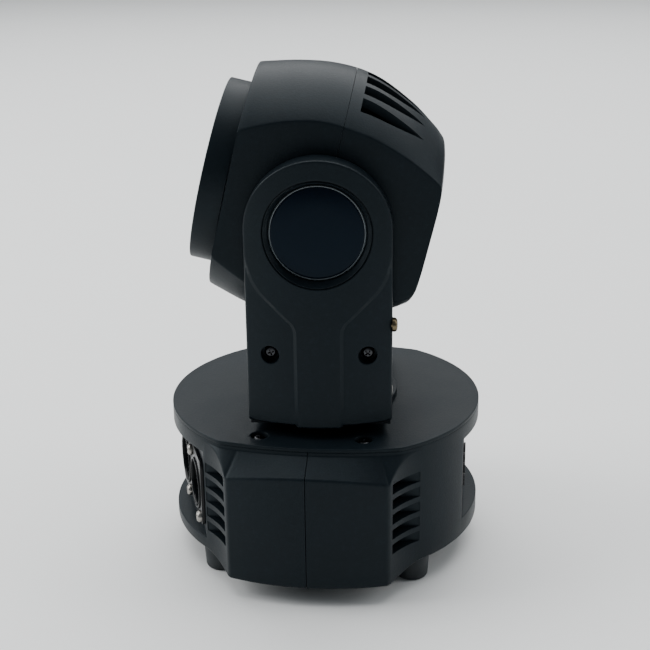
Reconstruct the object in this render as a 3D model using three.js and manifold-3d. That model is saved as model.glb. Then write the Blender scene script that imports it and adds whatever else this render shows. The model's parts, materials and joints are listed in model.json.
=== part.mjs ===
// Moving head wash light, millimetres, +Z up, origin on the floor under the middle of the base.
// The tilt axis runs along X, the sockets face +Y, the display and the buttons face -Y.
import * as THREE from 'three';
import { mergeVertices } from 'three/addons/utils/BufferGeometryUtils.js';
import Module from 'manifold-3d';

const wasm = await Module();
wasm.setup();

// ---- driving dimensions -------------------------------------------------------------------
const GAP = 0.3;                    // clearance between pieces that touch
const RUN = 0.06;                   // radial clearance of a shaft that turns in a bore
const WALL = 2.4;                   // moulded wall of the housings
const REACH = 200;                  // longer than the whole lamp, for cutting tools

// base
const DISC_R = 70;                  // round deck of the base
const DISC_TOP = 68;                // deck height above the floor
const FLAT_X = 63.5;                // the deck is flattened over the pods to this half width
const FLAT_R = 153.6;               // radius of that flatter edge
const FLAT_C = FLAT_R - FLAT_X;
const DRUM_BOTTOM = 12.3;           // lower edge of the round wall
const RIM_BOTTOM = 64.8;            // upper end of the pods' sloping tops
const SEAM = 0.3;                   // gap between the two halves of the shell
const PLATE_T = 1.3;                // top plate thickness
const POD_X = 74.2;                 // front of a pod
const POD_R = 107.8;                // radius of the pod's bowed front in plan
const POD_C = POD_R - POD_X;
const POD_CORNER = THREE.MathUtils.degToRad(26.6);
const FAIRING_END = THREE.MathUtils.degToRad(43.5);
const POD_STEP = 6.7;               // how far a pod's corner stands out of the drum
const FAIRING_CURVE = 2.6;
const POD_BOTTOM = 8.3;
const POD_FRONT_TOP = 59.1;
const POD_CORNER_TOP = 55.4;
const LOUVRES = 5;
const LOUVRE_PITCH = 7;
const LOUVRE_H = 4.6;
const LOUVRE_FIRST_Z = 24.4;
const LOUVRE_FROM = THREE.MathUtils.degToRad(28.3);
const LOUVRE_TO = THREE.MathUtils.degToRad(41.3);
const FOOT_AT = 42.6;               // feet stand at plus and minus this in X and Y
const PANEL_Y = -63.8;              // flat facet of the display side
const PANEL_BOTTOM = 20.9;
const FACET_TURN = THREE.MathUtils.degToRad(21.4);
const FACET_D = 62.65;              // the socket facets lie this far from the middle
const FACET_BOTTOM = 17.8;
const FACET_TOP = 59.3;
const SOCKETS_AT = [17, -9.9];      // socket centres along a facet
const SOCKET_Z = 38.2;
const SOCKET_W = 26;
const SOCKET_H = 31;
const SOCKET_CORNER = 3.2;
const SOCKET_FLANGE_T = 1.2;
const SOCKET_FACE = 1.5;            // the flange's outer face stands this far off the facet
const SOCKET_HOLE_R = 11.9;
const SOCKET_CUP_R = 10.6;          // open cup that the plug goes into
const SOCKET_FLOOR = -4.6;
const PIN_CIRCLE = 4;
const PIN_R = 1;
const DECK_SCREW_R = 56;
const DECK_SCREW_TURN = THREE.MathUtils.degToRad(23.3);
const BUTTONS = 4;
const BUTTON_PITCH = 11;
const BUTTON_Z = 34.2;
const BUTTON_R = 2.8;
const PAN_MOTOR_X = 48;
const HUB_R = 14;                   // pan tube
const TURNTABLE_R = 32.8;
const PAN_PULLEY_R = 25.7;
const PAN_PINION_R = 6;
const BELT_T = 1.2;

// yoke
const REST_PAN = THREE.MathUtils.degToRad(4);      // the yoke rests panned by this
const TILT_Z = 156.4;
const ARM_W = 30.4;                 // half width of an arm
const ARM_FACE_R = 72;              // radius of an arm's bowed face in plan
const ARM_X = 54;                   // middle of an arm's raised panel
const ARM_SIDE_X = 53.1;            // the lower flanks, where they would meet in the middle
const ARM_BOTTOM = 72.9;
const ARM_IN_X = 42;                // inner face of the yoke's side plates
const SIDE_PLATE_T = 1.8;
const COVER_X = ARM_IN_X + SIDE_PLATE_T + GAP;
const COVER_WALL = 2;
const BOSS_X = 44.2;                // outer ends of the frame's bearing bosses
const BAR_BOTTOM = 71.2;
const BAR_TOP = 94.2;
const BAR_W = 28.6;
const DISH_R = 22.2;                // mouth of the round dish that holds the badge
const DISH_FLOOR_X = 48.2;
const DISH_WALL = 1;
const BADGE_R = 19.6;
const ARM_SCREW_Y = 20.2;
const ARM_SCREW_Z = 104.6;
const ARM_SCREW_FLOOR_X = 45.2;
const PINION_Z = 83;
const TILT_PULLEY_R = 14;
const TILT_PINION_R = 5;
const BELT_X = 44.5;                // inner face of the tilt belt and its pulleys
const BELT_W = 2.4;
const SHAFT_R = 5;

// head, in its own frame: +Y along the beam, +Z up, centred on the tilt axis
const REST_TILT = THREE.MathUtils.degToRad(13.75); // the beam rests this far above level
const HEAD_Z = 4.34;                // middle of the head's sections above the tilt axis
const HEAD_X = 41;                  // flat cheeks
const HEAD_PROFILE = [[40.25, 49], [22.4, 53.8], [6.5, 56], [-9.5, 54.5], [-26, 47.8], [-38.4, 39.9], [-43.4, 35.8]];
const HEAD_SIDE = 56;               // half width of the rear sections before the cheeks are cut
const HEAD_SPLIT = -0.7;
const HEAD_REAR = -45.5;
const RING_R = 39.6;
const RING_FRONT = 51.1;
const LENS_FACE = 46;
const LENSES = 6;                   // lenses around the middle one
const LENS_R = 10.4;
const LENS_CIRCLE = 23.6;
const FAN_SIZE = 60;
const FAN_FRONT = -20;
const FAN_BACK = -33;
const FAN_BLADES = 7;
const FAN_SPINDLE_R = 1.5;

// ---- materials ----------------------------------------------------------------------------
const paint = (color, roughness, metalness = 0) => new THREE.MeshStandardMaterial({ color, roughness, metalness });
const blackPlastic = paint(0x1d1f21, 0.55);
const glossPlastic = paint(0x101112, 0.15);
const rubber = paint(0x141414, 0.85);
const silver = paint(0xb9bbbd, 0.3, 0.9);
const blackSteel = paint(0x202122, 0.45, 0.6);
const brass = paint(0xa8854a, 0.35, 0.9);
const aluminium = paint(0xa4a7aa, 0.45, 0.9);
const circuit = paint(0x16492c, 0.5);
const clear = paint(0xdfe5e8, 0.08);
const steel = paint(0x8d9093, 0.35, 0.9);

// ---- solids: small tools around three.js geometry ------------------------------------------
function solid(geometry) {
  const bare = geometry.index ? geometry.clone() : geometry;
  bare.deleteAttribute('normal');
  bare.deleteAttribute('uv');
  const merged = mergeVertices(bare, 1e-4);
  const p = merged.attributes.position;
  const index = merged.index.array;
  const tris = [];
  let volume = 0;
  const a = new THREE.Vector3();
  const b = new THREE.Vector3();
  const c = new THREE.Vector3();
  for (let i = 0; i < index.length; i += 3) {
    const [i0, i1, i2] = [index[i], index[i + 1], index[i + 2]];
    if (i0 === i1 || i1 === i2 || i2 === i0) continue;
    tris.push(i0, i1, i2);
    a.fromBufferAttribute(p, i0);
    b.fromBufferAttribute(p, i1);
    c.fromBufferAttribute(p, i2);
    volume += a.dot(b.cross(c));
  }
  if (volume < 0) tris.reverse();
  return new wasm.Manifold(new wasm.Mesh({
    numProp: 3,
    vertProperties: Float32Array.from(p.array),
    triVerts: Uint32Array.from(tris),
  }));
}

function join(first, ...others) {
  return others.reduce((sum, next) => sum.add(next), first);
}

function cut(body, ...tools) {
  return tools.reduce((rest, tool) => rest.subtract(tool), body);
}

function box(x0, x1, y0, y1, z0, z1) {
  const g = new THREE.BoxGeometry(x1 - x0, y1 - y0, z1 - z0);
  return solid(g.translate((x0 + x1) / 2, (y0 + y1) / 2, (z0 + z1) / 2));
}

// round bars along Z, X and Y, from one end to the other
function rodZ(r, z0, z1, x = 0, y = 0, sides = 14, rTop = r) {
  const g = new THREE.CylinderGeometry(rTop, r, z1 - z0, sides).rotateX(Math.PI / 2);
  return solid(g.translate(x, y, (z0 + z1) / 2));
}

function rodX(r, x0, x1, y = 0, z = 0, sides = 14) {
  const g = new THREE.CylinderGeometry(r, r, x1 - x0, sides).rotateZ(-Math.PI / 2);
  return solid(g.translate((x0 + x1) / 2, y, z));
}

function rodY(r, y0, y1, x = 0, z = 0, sides = 14) {
  return solid(new THREE.CylinderGeometry(r, r, y1 - y0, sides).translate(x, (y0 + y1) / 2, z));
}

// radius for a many-sided bore whose flats clear a shaft that turns in it
function boreFor(shaftR, sides) {
  return (shaftR + RUN) / Math.cos(Math.PI / sides);
}

function prismZ(shape, z0, z1, curveSegments = 8) {
  const g = new THREE.ExtrudeGeometry(shape, { depth: z1 - z0, bevelEnabled: false, curveSegments });
  return solid(g.translate(0, 0, z0));
}

// the shape's x and y become Y and Z
function prismX(shape, x0, x1, curveSegments = 12) {
  const g = new THREE.ExtrudeGeometry(shape, { depth: x1 - x0, bevelEnabled: false, curveSegments });
  const turn = new THREE.Matrix4().makeBasis(
    new THREE.Vector3(0, 1, 0), new THREE.Vector3(0, 0, 1), new THREE.Vector3(1, 0, 0));
  return solid(g.translate(0, 0, x0).applyMatrix4(turn));
}

// rings of equal length, closed by a fan at both ends
function loft(rings) {
  const n = rings[0].length;
  const points = rings.flat();
  const index = [];
  for (let k = 0; k + 1 < rings.length; k++) {
    for (let i = 0; i < n; i++) {
      const j = (i + 1) % n;
      const [p, q] = [k * n, (k + 1) * n];
      index.push(p + i, p + j, q + j, p + i, q + j, q + i);
    }
  }
  for (const [ring, start] of [[rings[0], 0], [rings.at(-1), (rings.length - 1) * n]]) {
    const middle = ring.reduce((s, v) => s.add(v), new THREE.Vector3()).divideScalar(n);
    points.push(middle);
    for (let i = 0; i < n; i++) {
      const j = (i + 1) % n;
      const tip = points.length - 1;
      index.push(...(start ? [start + i, start + j, tip] : [start + j, start + i, tip]));
    }
  }
  const g = new THREE.BufferGeometry().setFromPoints(points);
  g.setIndex(index);
  return solid(g);
}

// a turned piece about X, from [x, radius] points, closed on the axis
function turnedX(profile, y = 0, z = 0, sides = 16) {
  const g = new THREE.LatheGeometry(profile.map(([x, r]) => new THREE.Vector2(r, x)), sides);
  return solid(g.rotateZ(-Math.PI / 2).translate(0, y, z));
}

function turnedZ(profile, x = 0, y = 0, sides = 16) {
  const g = new THREE.LatheGeometry(profile.map(([r, z]) => new THREE.Vector2(r, z)), sides);
  return solid(g.rotateX(Math.PI / 2).translate(x, y, 0));
}

function roundedRect(w, h, r) {
  const s = new THREE.Shape();
  s.moveTo(-w / 2 + r, -h / 2);
  s.lineTo(w / 2 - r, -h / 2);
  s.absarc(w / 2 - r, -h / 2 + r, r, -Math.PI / 2, 0);
  s.lineTo(w / 2, h / 2 - r);
  s.absarc(w / 2 - r, h / 2 - r, r, 0, Math.PI / 2);
  s.lineTo(-w / 2 + r, h / 2);
  s.absarc(-w / 2 + r, h / 2 - r, r, Math.PI / 2, Math.PI);
  s.lineTo(-w / 2, -h / 2 + r);
  s.absarc(-w / 2 + r, -h / 2 + r, r, Math.PI, Math.PI * 1.5);
  return s;
}

function halfTurn(body) {
  return turnAbout(body, Math.PI);
}

function turnAbout(body, angle, x = 0, y = 0, z = 0) {
  const g = toGeometry(body);
  g.rotateZ(angle).translate(x, y, z);
  return solid(g);
}

function toGeometry(body) {
  const m = body.getMesh();
  const g = new THREE.BufferGeometry();
  g.setAttribute('position', new THREE.BufferAttribute(Float32Array.from(m.vertProperties), 3));
  g.setIndex(Array.from(m.triVerts));
  g.computeVertexNormals();
  return g;
}

const object = new THREE.Group();
const yoke = new THREE.Group();
const head = new THREE.Group();
yoke.rotation.z = REST_PAN;
head.position.z = TILT_Z;
head.rotation.x = REST_TILT;
object.add(yoke);
yoke.add(head);

function place(group, name, body, material) {
  const mesh = new THREE.Mesh(toGeometry(body), material);
  mesh.name = name;
  group.add(mesh);
}

// ---- base: outline --------------------------------------------------------------------------
function fromPodAxis(a) {
  return Math.atan2(Math.abs(Math.sin(a)), Math.abs(Math.cos(a)));
}

function deckEdge(a) {
  const flat = Math.sqrt(FLAT_R ** 2 - (FLAT_C * Math.sin(a)) ** 2) - FLAT_C * Math.abs(Math.cos(a));
  return Math.min(DISC_R, flat);
}

function alongFairing(a) {
  return THREE.MathUtils.clamp((fromPodAxis(a) - POD_CORNER) / (FAIRING_END - POD_CORNER), -2, 1);
}

// bowed front, rounded corner, hollow fairing, then the round drum
function podEdge(a) {
  const phi = fromPodAxis(a);
  const front = Math.sqrt(POD_R ** 2 - (POD_C * Math.sin(phi)) ** 2) - POD_C * Math.cos(phi);
  const side = DISC_R + POD_STEP * (1 - alongFairing(a)) ** FAIRING_CURVE;
  const blend = 1.8;
  const t = THREE.MathUtils.clamp(0.5 + (side - front) / (2 * blend), 0, 1);
  return side + (front - side) * t - blend * t * (1 - t);
}

function podTop(a) {
  const phi = fromPodAxis(a);
  if (phi < POD_CORNER) return POD_FRONT_TOP - (POD_FRONT_TOP - POD_CORNER_TOP) * (phi / POD_CORNER) ** 2;
  return RIM_BOTTOM - (RIM_BOTTOM - POD_CORNER_TOP) * (1 - alongFairing(a)) ** 3.2;
}

function podBottom(a) {
  const t = THREE.MathUtils.smoothstep(alongFairing(a), 0, 1);
  return POD_BOTTOM + (DRUM_BOTTOM - POD_BOTTOM) * t;
}

// directions around the base, closer together at the pods' corners
function directions() {
  const list = [];
  const corner = THREE.MathUtils.radToDeg(POD_CORNER);
  const quarter = [];
  for (let d = 0; d < 90; d += Math.abs(d - corner) < 3.6 ? 2.4 : 6.6) quarter.push(d);
  for (const d of quarter) list.push(d);
  list.push(90);
  for (const d of quarter.slice(1).reverse()) list.push(180 - d);
  const half = list.length;
  for (let i = 0; i < half; i++) list.push(list[i] + 180);
  return list.map(THREE.MathUtils.degToRad);
}

function polar(r, a) {
  return new THREE.Vector2(r * Math.cos(a), r * Math.sin(a));
}

function baseRing(edge, level) {
  return directions().map((a) => {
    const p = polar(edge(a), a);
    return new THREE.Vector3(p.x, p.y, typeof level === 'function' ? level(a) : level);
  });
}

function deckShape() {
  return new THREE.Shape(directions().map((a) => polar(deckEdge(a), a)));
}

// ---- base: facets and holes -------------------------------------------------------------------
// everything beyond a socket facet, as seen from the middle; side is -1 or +1
function beyondFacet(side, distance, z0, z1) {
  return turnAbout(box(-REACH, REACH, distance, distance + REACH, z0, z1), -side * FACET_TURN);
}

// a piece made around the Y axis facing +Y, moved to a socket's place on a facet
function atSocket(body, side, along) {
  const tangent = side * along;
  const x = tangent * Math.cos(FACET_TURN) + side * FACET_D * Math.sin(FACET_TURN);
  const y = FACET_D * Math.cos(FACET_TURN) - along * Math.sin(FACET_TURN);
  return turnAbout(body, -side * FACET_TURN, x, y, SOCKET_Z);
}

function louvres() {
  const tools = [];
  for (const quarter of [0, 1, 2, 3]) {
    const mirror = quarter % 2 ? -1 : 1;
    const turn = quarter > 1 ? Math.PI : 0;
    const corners = [[56, LOUVRE_FROM], [90, LOUVRE_FROM], [90, LOUVRE_TO], [56, LOUVRE_TO]];
    const wedge = new THREE.Shape(corners.map(([r, a]) => polar(r, turn + mirror * a)));
    for (let i = 0; i < LOUVRES; i++) {
      const z = LOUVRE_FIRST_Z + i * LOUVRE_PITCH;
      tools.push(prismZ(wedge, z - LOUVRE_H / 2, z + LOUVRE_H / 2));
    }
  }
  return tools;
}

function deckScrewPlaces() {
  return [0, 1, 2, 3].map((k) => {
    const x = DECK_SCREW_R * Math.cos(DECK_SCREW_TURN) * (k < 2 ? -1 : 1);
    const y = DECK_SCREW_R * Math.sin(DECK_SCREW_TURN) * (k % 2 ? -1 : 1);
    return [x, y];
  });
}

// ---- base: pieces -------------------------------------------------------------------------------
function baseShell() {
  const deckBottom = DISC_TOP - PLATE_T - GAP;
  const outer = loft([
    baseRing(podEdge, podBottom), baseRing(podEdge, podTop),
    baseRing(deckEdge, RIM_BOTTOM), baseRing(deckEdge, deckBottom),
  ]);
  const inset = (edge, d) => (a) => edge(a) - d;
  const deckLedge = 5;
  let room = loft([
    baseRing(inset(podEdge, WALL), -10), baseRing(inset(podEdge, WALL), (a) => podTop(a) - 2 * WALL),
    baseRing(inset(deckEdge, deckLedge), RIM_BOTTOM - WALL), baseRing(inset(deckEdge, deckLedge), 80),
  ]);
  let body = cut(outer, box(-REACH, REACH, -REACH, PANEL_Y, PANEL_BOTTOM, FACET_TOP));
  room = cut(room, box(-32, 32, -REACH, PANEL_Y + WALL, PANEL_BOTTOM - WALL, FACET_TOP + WALL));
  for (const side of [-1, 1]) {
    body = cut(body, beyondFacet(side, FACET_D, FACET_BOTTOM, FACET_TOP));
    room = cut(room, beyondFacet(side, FACET_D - WALL, FACET_BOTTOM - WALL, FACET_TOP + WALL));
  }
  body = cut(body, room, ...louvres());
  // posts for the deck screws, held by a rib to the wall
  for (const [x, y] of deckScrewPlaces()) {
    const rib = turnAbout(box(0, 14, -1.1, 1.1, 52, 61), Math.atan2(y, x), x, y);
    body = join(body, rodZ(4, 51.6, 63.2, x, y, 8), rib);
    body = cut(body, rodZ(1.7, 50, 70, x, y, 6));
  }
  body = cut(body, box(-25, 25, PANEL_Y - 5, PANEL_Y + 5, 24, 56));
  for (const side of [-1, 1]) {
    for (const along of SOCKETS_AT) body = cut(body, atSocket(rodY(12.2, -8, 8, 0, 0, 16), side, along));
  }
  return body;
}

function topPlate() {
  const under = DISC_TOP - PLATE_T;
  let body = prismZ(deckShape(), under, DISC_TOP);
  body = join(body, rodZ(24, 60, under + 0.5, 0, 0, 24));
  body = cut(body, rodZ(20, 50, 80, 0, 0, 24));
  for (const [x, y] of deckScrewPlaces()) {
    body = join(body, rodZ(5, 63.5, under + 0.5, x, y, 10));
    body = cut(body, rodZ(3.7, 65.6, 80, x, y, 12), rodZ(1.7, 50, 80, x, y, 6));
  }
  return body;
}

function deckScrew(x, y) {
  const seat = 65.6;
  return turnedZ([[0, 54], [1.4, 54], [1.4, seat + GAP], [2.8, seat + GAP], [2.6, seat + 1.8],
    [0, seat + 2.3]], x, y, 10);
}

function bottomPlate() {
  const inside = (a) => podEdge(a) - WALL - GAP;
  let body = loft([baseRing(inside, DRUM_BOTTOM), baseRing(inside, DRUM_BOTTOM + 2)]);
  body = join(body, rodZ(12, DRUM_BOTTOM - 1.5, DRUM_BOTTOM + 4, 0, 0, 20));
  body = cut(body, rodZ(4.2, 0, 30, 0, 0, 12));
  for (const x of [-30, 30]) {
    for (const y of [-36, 22]) body = join(body, rodZ(3, DRUM_BOTTOM + 1, 16.7, x, y, 10));
    for (let k = 0; k < 4; k++) body = cut(body, box(x - 10, x + 10, 30 + 5 * k, 32.4 + 5 * k, 0, 30));
  }
  return body;
}

function foot(x, y) {
  return turnedZ([[0, 4], [3, 4], [3, 0], [6.2, 0], [7, 0.8], [7.6, DRUM_BOTTOM - GAP],
    [0, DRUM_BOTTOM - GAP]], x, y, 14);
}

function controlPanel() {
  const face = PANEL_Y + 0.2;
  let body = box(-24.7, 24.7, face, face + 1.7, 24.3, 55.7);
  body = cut(body, box(-15.3, 15.3, face - 2, face + 5, 42.7, 53.3));
  for (const x of buttonPlaces()) body = cut(body, rodY(BUTTON_R + GAP, face - 2, face + 5, x, BUTTON_Z, 12));
  return body;
}

function buttonPlaces() {
  return Array.from({ length: BUTTONS }, (_, i) => (i - (BUTTONS - 1) / 2) * BUTTON_PITCH);
}

function button(x) {
  const face = PANEL_Y - 0.9;
  return join(
    rodY(BUTTON_R, face, PANEL_Y + 3, x, BUTTON_Z, 12),
    rodY(3.7, PANEL_Y + 2.3, PANEL_Y + 3, x, BUTTON_Z, 12));
}

function displayWindow() {
  return box(-15, 15, PANEL_Y + 0.3, PANEL_Y + 1.6, 43, 53);
}

function controlBoard() {
  const front = -58.2;
  let body = box(-23, 23, front, front + 1.6, 26, 55);
  body = join(body, box(-14, 14, PANEL_Y + 2.2, front + 0.5, 43.5, 52.5));
  for (const x of buttonPlaces()) {
    body = join(body, box(x - 3, x + 3, front - 1.6, front + 0.5, BUTTON_Z - 3, BUTTON_Z + 3));
  }
  return body;
}

// a panel socket: flange with rounded corners, raised ring, open cup, then an insert behind its floor
function socket(kind) {
  const flange = new THREE.ExtrudeGeometry(roundedRect(SOCKET_W, SOCKET_H, SOCKET_CORNER),
    { depth: SOCKET_FLANGE_T, bevelEnabled: false, curveSegments: 2 });
  let body = solid(flange.rotateX(Math.PI / 2).translate(0, SOCKET_FACE, 0));
  body = join(body, rodY(SOCKET_HOLE_R, -6, 1, 0, 0, 16));
  body = cut(body, rodY(SOCKET_CUP_R, SOCKET_FLOOR, 5, 0, 0, 16));
  body = join(body, rodY(8.2, -14, SOCKET_FLOOR - 0.5, 0, 0, 12));
  if (kind === 'power') {
    body = cut(body, rodY(5.2, -10, 3, 0, 0, 12));
    body = join(body, rodY(2.4, -11, SOCKET_FLOOR + 2, 0, 0, 8));
  }
  for (const [x, z] of kind === 'power' ? [] : [[-PIN_CIRCLE, 0], [0, PIN_CIRCLE], [PIN_CIRCLE, 0]]) {
    if (kind === 'male') body = join(body, rodY(PIN_R, SOCKET_FLOOR - 1, -1, x, z, 6));
    else body = cut(body, rodY(PIN_R + GAP, -10, 0, x, z, 6));
  }
  for (const s of [-1, 1]) body = cut(body, rodY(1.6, -5, 5, s * 9.5, s * 12, 6));
  return body;
}

function mainBoard() {
  let body = box(-34, 34, -42, 26, 17, 18.6);
  body = join(body,
    box(-14, 14, -34, -14, 18, 24), box(-30, -22, -30, -6, 18, 28), box(18, 30, -34, -22, 18, 30));
  for (let k = 0; k < 4; k++) body = join(body, box(-20 + 11 * k, -13 + 11 * k, 10, 18, 18, 26));
  return body;
}

function powerSupply() {
  let body = box(-66.5, -42, -25, 18, 15, 44);
  for (let k = 0; k < 6; k++) body = cut(body, box(-60, -48, -22 + 6.4 * k, -19 + 6.4 * k, 41, 50));
  return body;
}

function panMotor() {
  return join(
    rodZ(17.5, 27, 49.7, PAN_MOTOR_X, 0, 20),
    rodZ(5, 49, 51.6, PAN_MOTOR_X, 0, 14),
    rodZ(2.5, 51, 58, PAN_MOTOR_X, 0, 12));
}

function motorPlate() {
  return cut(box(29, 64, -25, 25, 50, 51.3), rodZ(5.4, 40, 60, PAN_MOTOR_X, 0, 14),
    box(29 - 1, 40, 18, 26, 40, 60));
}

function pulley(r, bore, z0, z1, x = 0, sides = 24) {
  return cut(rodZ(r, z0, z1, x, 0, sides), rodZ(bore, z0 - 5, z1 + 5, x, 0, sides));
}

// a flat belt around two wheels, as a shape; the second wheel lies along the shape's x
function beltShape(r1, r2, distance, grow) {
  const [a, b] = [r1 + grow, r2 + grow];
  const lean = Math.acos((r1 - r2) / distance);
  const s = new THREE.Shape();
  s.absarc(0, 0, a, lean, 2 * Math.PI - lean, false);
  s.absarc(distance, 0, b, -lean, lean, false);
  s.closePath();
  return s;
}

function panBelt() {
  const around = (grow) => prismZ(beltShape(PAN_PULLEY_R, PAN_PINION_R, PAN_MOTOR_X, grow), 52.6, 56.6, 8);
  return cut(around(GAP + BELT_T), join(around(GAP), prismZ(
    beltShape(PAN_PULLEY_R, PAN_PINION_R, PAN_MOTOR_X, GAP), 50, 60, 8)));
}

function panBearing() {
  return cut(rodZ(19.7, 60.4, 66.4, 0, 0, 24), rodZ(boreFor(HUB_R, 24), 50, 70, 0, 0, 24));
}

// ---- yoke -----------------------------------------------------------------------------------------
// an arm seen from the side: straight flanks under a half circle about the tilt axis
function armShape(halfWidth, bottom) {
  const s = new THREE.Shape();
  s.moveTo(-halfWidth, bottom);
  s.lineTo(halfWidth, bottom);
  s.lineTo(halfWidth, TILT_Z);
  s.absarc(0, TILT_Z, halfWidth, 0, Math.PI);
  s.closePath();
  return s;
}

// the raised panel: full width around the axis, drawn in to a straight stem below
function panelShape() {
  const edge = [[9.5, ARM_BOTTOM], [9.5, 117.2], [24.6, 131.5], [28.6, 137], [ARM_W, 145.5]];
  const s = new THREE.Shape();
  s.moveTo(-edge[0][0], edge[0][1]);
  for (const [y, z] of edge) s.lineTo(y, z);
  s.lineTo(ARM_W, TILT_Z);
  s.absarc(0, TILT_Z, ARM_W, 0, Math.PI);
  for (const [y, z] of edge.slice(1).reverse()) s.lineTo(-y, z);
  s.closePath();
  return s;
}

// everything inside a bowed face whose middle is at x
function behindFace(x) {
  return rodZ(ARM_FACE_R, 60, 200, x - ARM_FACE_R, 0, 72);
}

// made for the +X side
function armCover() {
  const outline = prismX(armShape(ARM_W, ARM_BOTTOM), COVER_X, 70);
  const panel = prismX(panelShape(), COVER_X, 70).intersect(behindFace(ARM_X));
  let body = join(outline.intersect(behindFace(ARM_SIDE_X)), panel);
  const room = prismX(armShape(ARM_W - COVER_WALL, ARM_BOTTOM + COVER_WALL), 30, 70)
    .intersect(behindFace(ARM_SIDE_X - COVER_WALL));
  body = cut(body, room);
  const dish = rodX(DISH_R + 1.2, DISH_FLOOR_X - DISH_WALL, 56, 0, TILT_Z, 28).intersect(behindFace(ARM_X));
  body = cut(join(body, dish), turnedX([[DISH_FLOOR_X, 0], [DISH_FLOOR_X, BADGE_R + 0.4], [ARM_X, DISH_R],
    [70, DISH_R], [70, 0]], 0, TILT_Z, 28));
  for (const y of [-ARM_SCREW_Y, ARM_SCREW_Y]) {
    const boss = rodX(5.4, COVER_X, 52, y, ARM_SCREW_Z, 8);
    body = join(body, boss.intersect(behindFace(ARM_SIDE_X)).intersect(outline));
    body = cut(body, rodX(3.85, ARM_SCREW_FLOOR_X, 70, y, ARM_SCREW_Z, 12), rodX(1.7, 30, 70, y, ARM_SCREW_Z, 6));
  }
  return body;
}

function armScrew(y) {
  const seat = ARM_SCREW_FLOOR_X + GAP;
  return turnedX([[ARM_IN_X + 0.3, 0], [ARM_IN_X + 0.3, 1.4], [seat, 1.4], [seat, 2.7], [seat + 1.6, 2.5],
    [seat + 2.2, 0]], y, ARM_SCREW_Z, 10);
}

function armBadge() {
  const back = DISH_FLOOR_X + GAP;
  return turnedX([[back, 0], [back, BADGE_R], [back + 0.8, BADGE_R], [back + 1.2, BADGE_R - 0.8],
    [back + 1.95, 0]], 0, TILT_Z, 28);
}

function yokeFrame() {
  const [plateIn, plateOut] = [ARM_IN_X, ARM_IN_X + SIDE_PLATE_T];
  const [w, z0, z1] = [BAR_W - SIDE_PLATE_T, BAR_BOTTOM + SIDE_PLATE_T, BAR_TOP - SIDE_PLATE_T];
  let body = cut(
    box(-plateOut, plateOut, -BAR_W, BAR_W, BAR_BOTTOM, BAR_TOP),
    box(-plateIn + 2, 60, -w, w, z0, z1));
  for (const side of [-1, 1]) {
    const [x0, x1] = side < 0 ? [-plateOut, -plateIn] : [plateIn, plateOut];
    body = join(body, prismX(armShape(ARM_W - 0.6, BAR_BOTTOM), x0, x1));
    const [b0, b1] = side < 0 ? [-BOSS_X, -plateIn] : [plateIn, BOSS_X];
    body = cut(join(body, rodX(9.6, b0, b1, 0, TILT_Z)), rodX(8, b0 - 5, b1 + 5, 0, TILT_Z));
  }
  body = cut(body,
    box(plateIn - 2, 60, -w, w, z0, z1),
    rodX(5.2, -60, -30, 0, PINION_Z, 14), rodZ(8.5, 60, 80), sideScrewHole(), sideScrewHole(true));
  for (const y of [-ARM_SCREW_Y, ARM_SCREW_Y]) body = cut(body, rodX(1.7, -60, 60, y, ARM_SCREW_Z, 8));
  return body;
}

// pan head screws in the frame's front side, heads towards -Y
const SIDE_SCREWS = { lower: { x: -30, z: 80.6, face: -BAR_W }, upper: { x: -45, z: 116.4, face: -ARM_W } };

function sideScrewHole(upper = false) {
  const s = upper ? SIDE_SCREWS.upper : SIDE_SCREWS.lower;
  return rodY(upper ? 1.3 : 1.7, s.face - 5, s.face + 5, s.x, s.z, 8);
}

function sideScrew(s, headR, shankR, length) {
  return join(
    rodY(headR, s.face - 2.4, s.face - GAP, s.x, s.z, 12),
    rodY(shankR, s.face - 1, s.face + length, s.x, s.z, 8));
}

function panHub() {
  const body = join(
    rodZ(TURNTABLE_R, DISC_TOP + GAP, BAR_BOTTOM - GAP, 0, 0, 40),
    rodZ(HUB_R, 51.6, DISC_TOP + 1, 0, 0, 24));
  return cut(body, rodZ(8.5, 40, 80));
}

function tiltMotor() {
  return join(
    rodX(9, -39.6, -20, 0, PINION_Z, 16),
    rodX(4.6, -40, -39, 0, PINION_Z, 12),
    rodX(1.5, -47.4, -39, 0, PINION_Z, 8));
}

function tiltWheel(r, bore, z) {
  return cut(rodX(r, -BELT_X - BELT_W, -BELT_X, 0, z, 20), rodX(bore, -60, -30, 0, z, 12));
}

function tiltBelt() {
  const distance = TILT_Z - PINION_Z;
  const turn = new THREE.Matrix4().makeBasis(
    new THREE.Vector3(0, 0, -1), new THREE.Vector3(0, 1, 0), new THREE.Vector3(1, 0, 0));
  const around = (grow, x0, x1) => {
    const shape = beltShape(TILT_PULLEY_R, TILT_PINION_R, distance, grow);
    const g = new THREE.ExtrudeGeometry(shape, { depth: x1 - x0, bevelEnabled: false, curveSegments: 7 });
    return solid(g.translate(0, 0, x0).applyMatrix4(turn).translate(0, 0, TILT_Z));
  };
  return cut(around(GAP + BELT_T, -BELT_X - BELT_W + 0.2, -BELT_X - 0.2), around(GAP, -60, -30));
}

function tiltBearing() {
  return cut(rodX(7.7, ARM_IN_X + 0.2, BOSS_X, 0, TILT_Z), rodX(boreFor(SHAFT_R, 14), 30, 60, 0, TILT_Z));
}

// ---- head -----------------------------------------------------------------------------------------
function headWidth(y, half) {
  return y > 0 ? half : THREE.MathUtils.lerp(half, HEAD_SIDE, THREE.MathUtils.smoothstep(-y, 0, 12));
}

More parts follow.
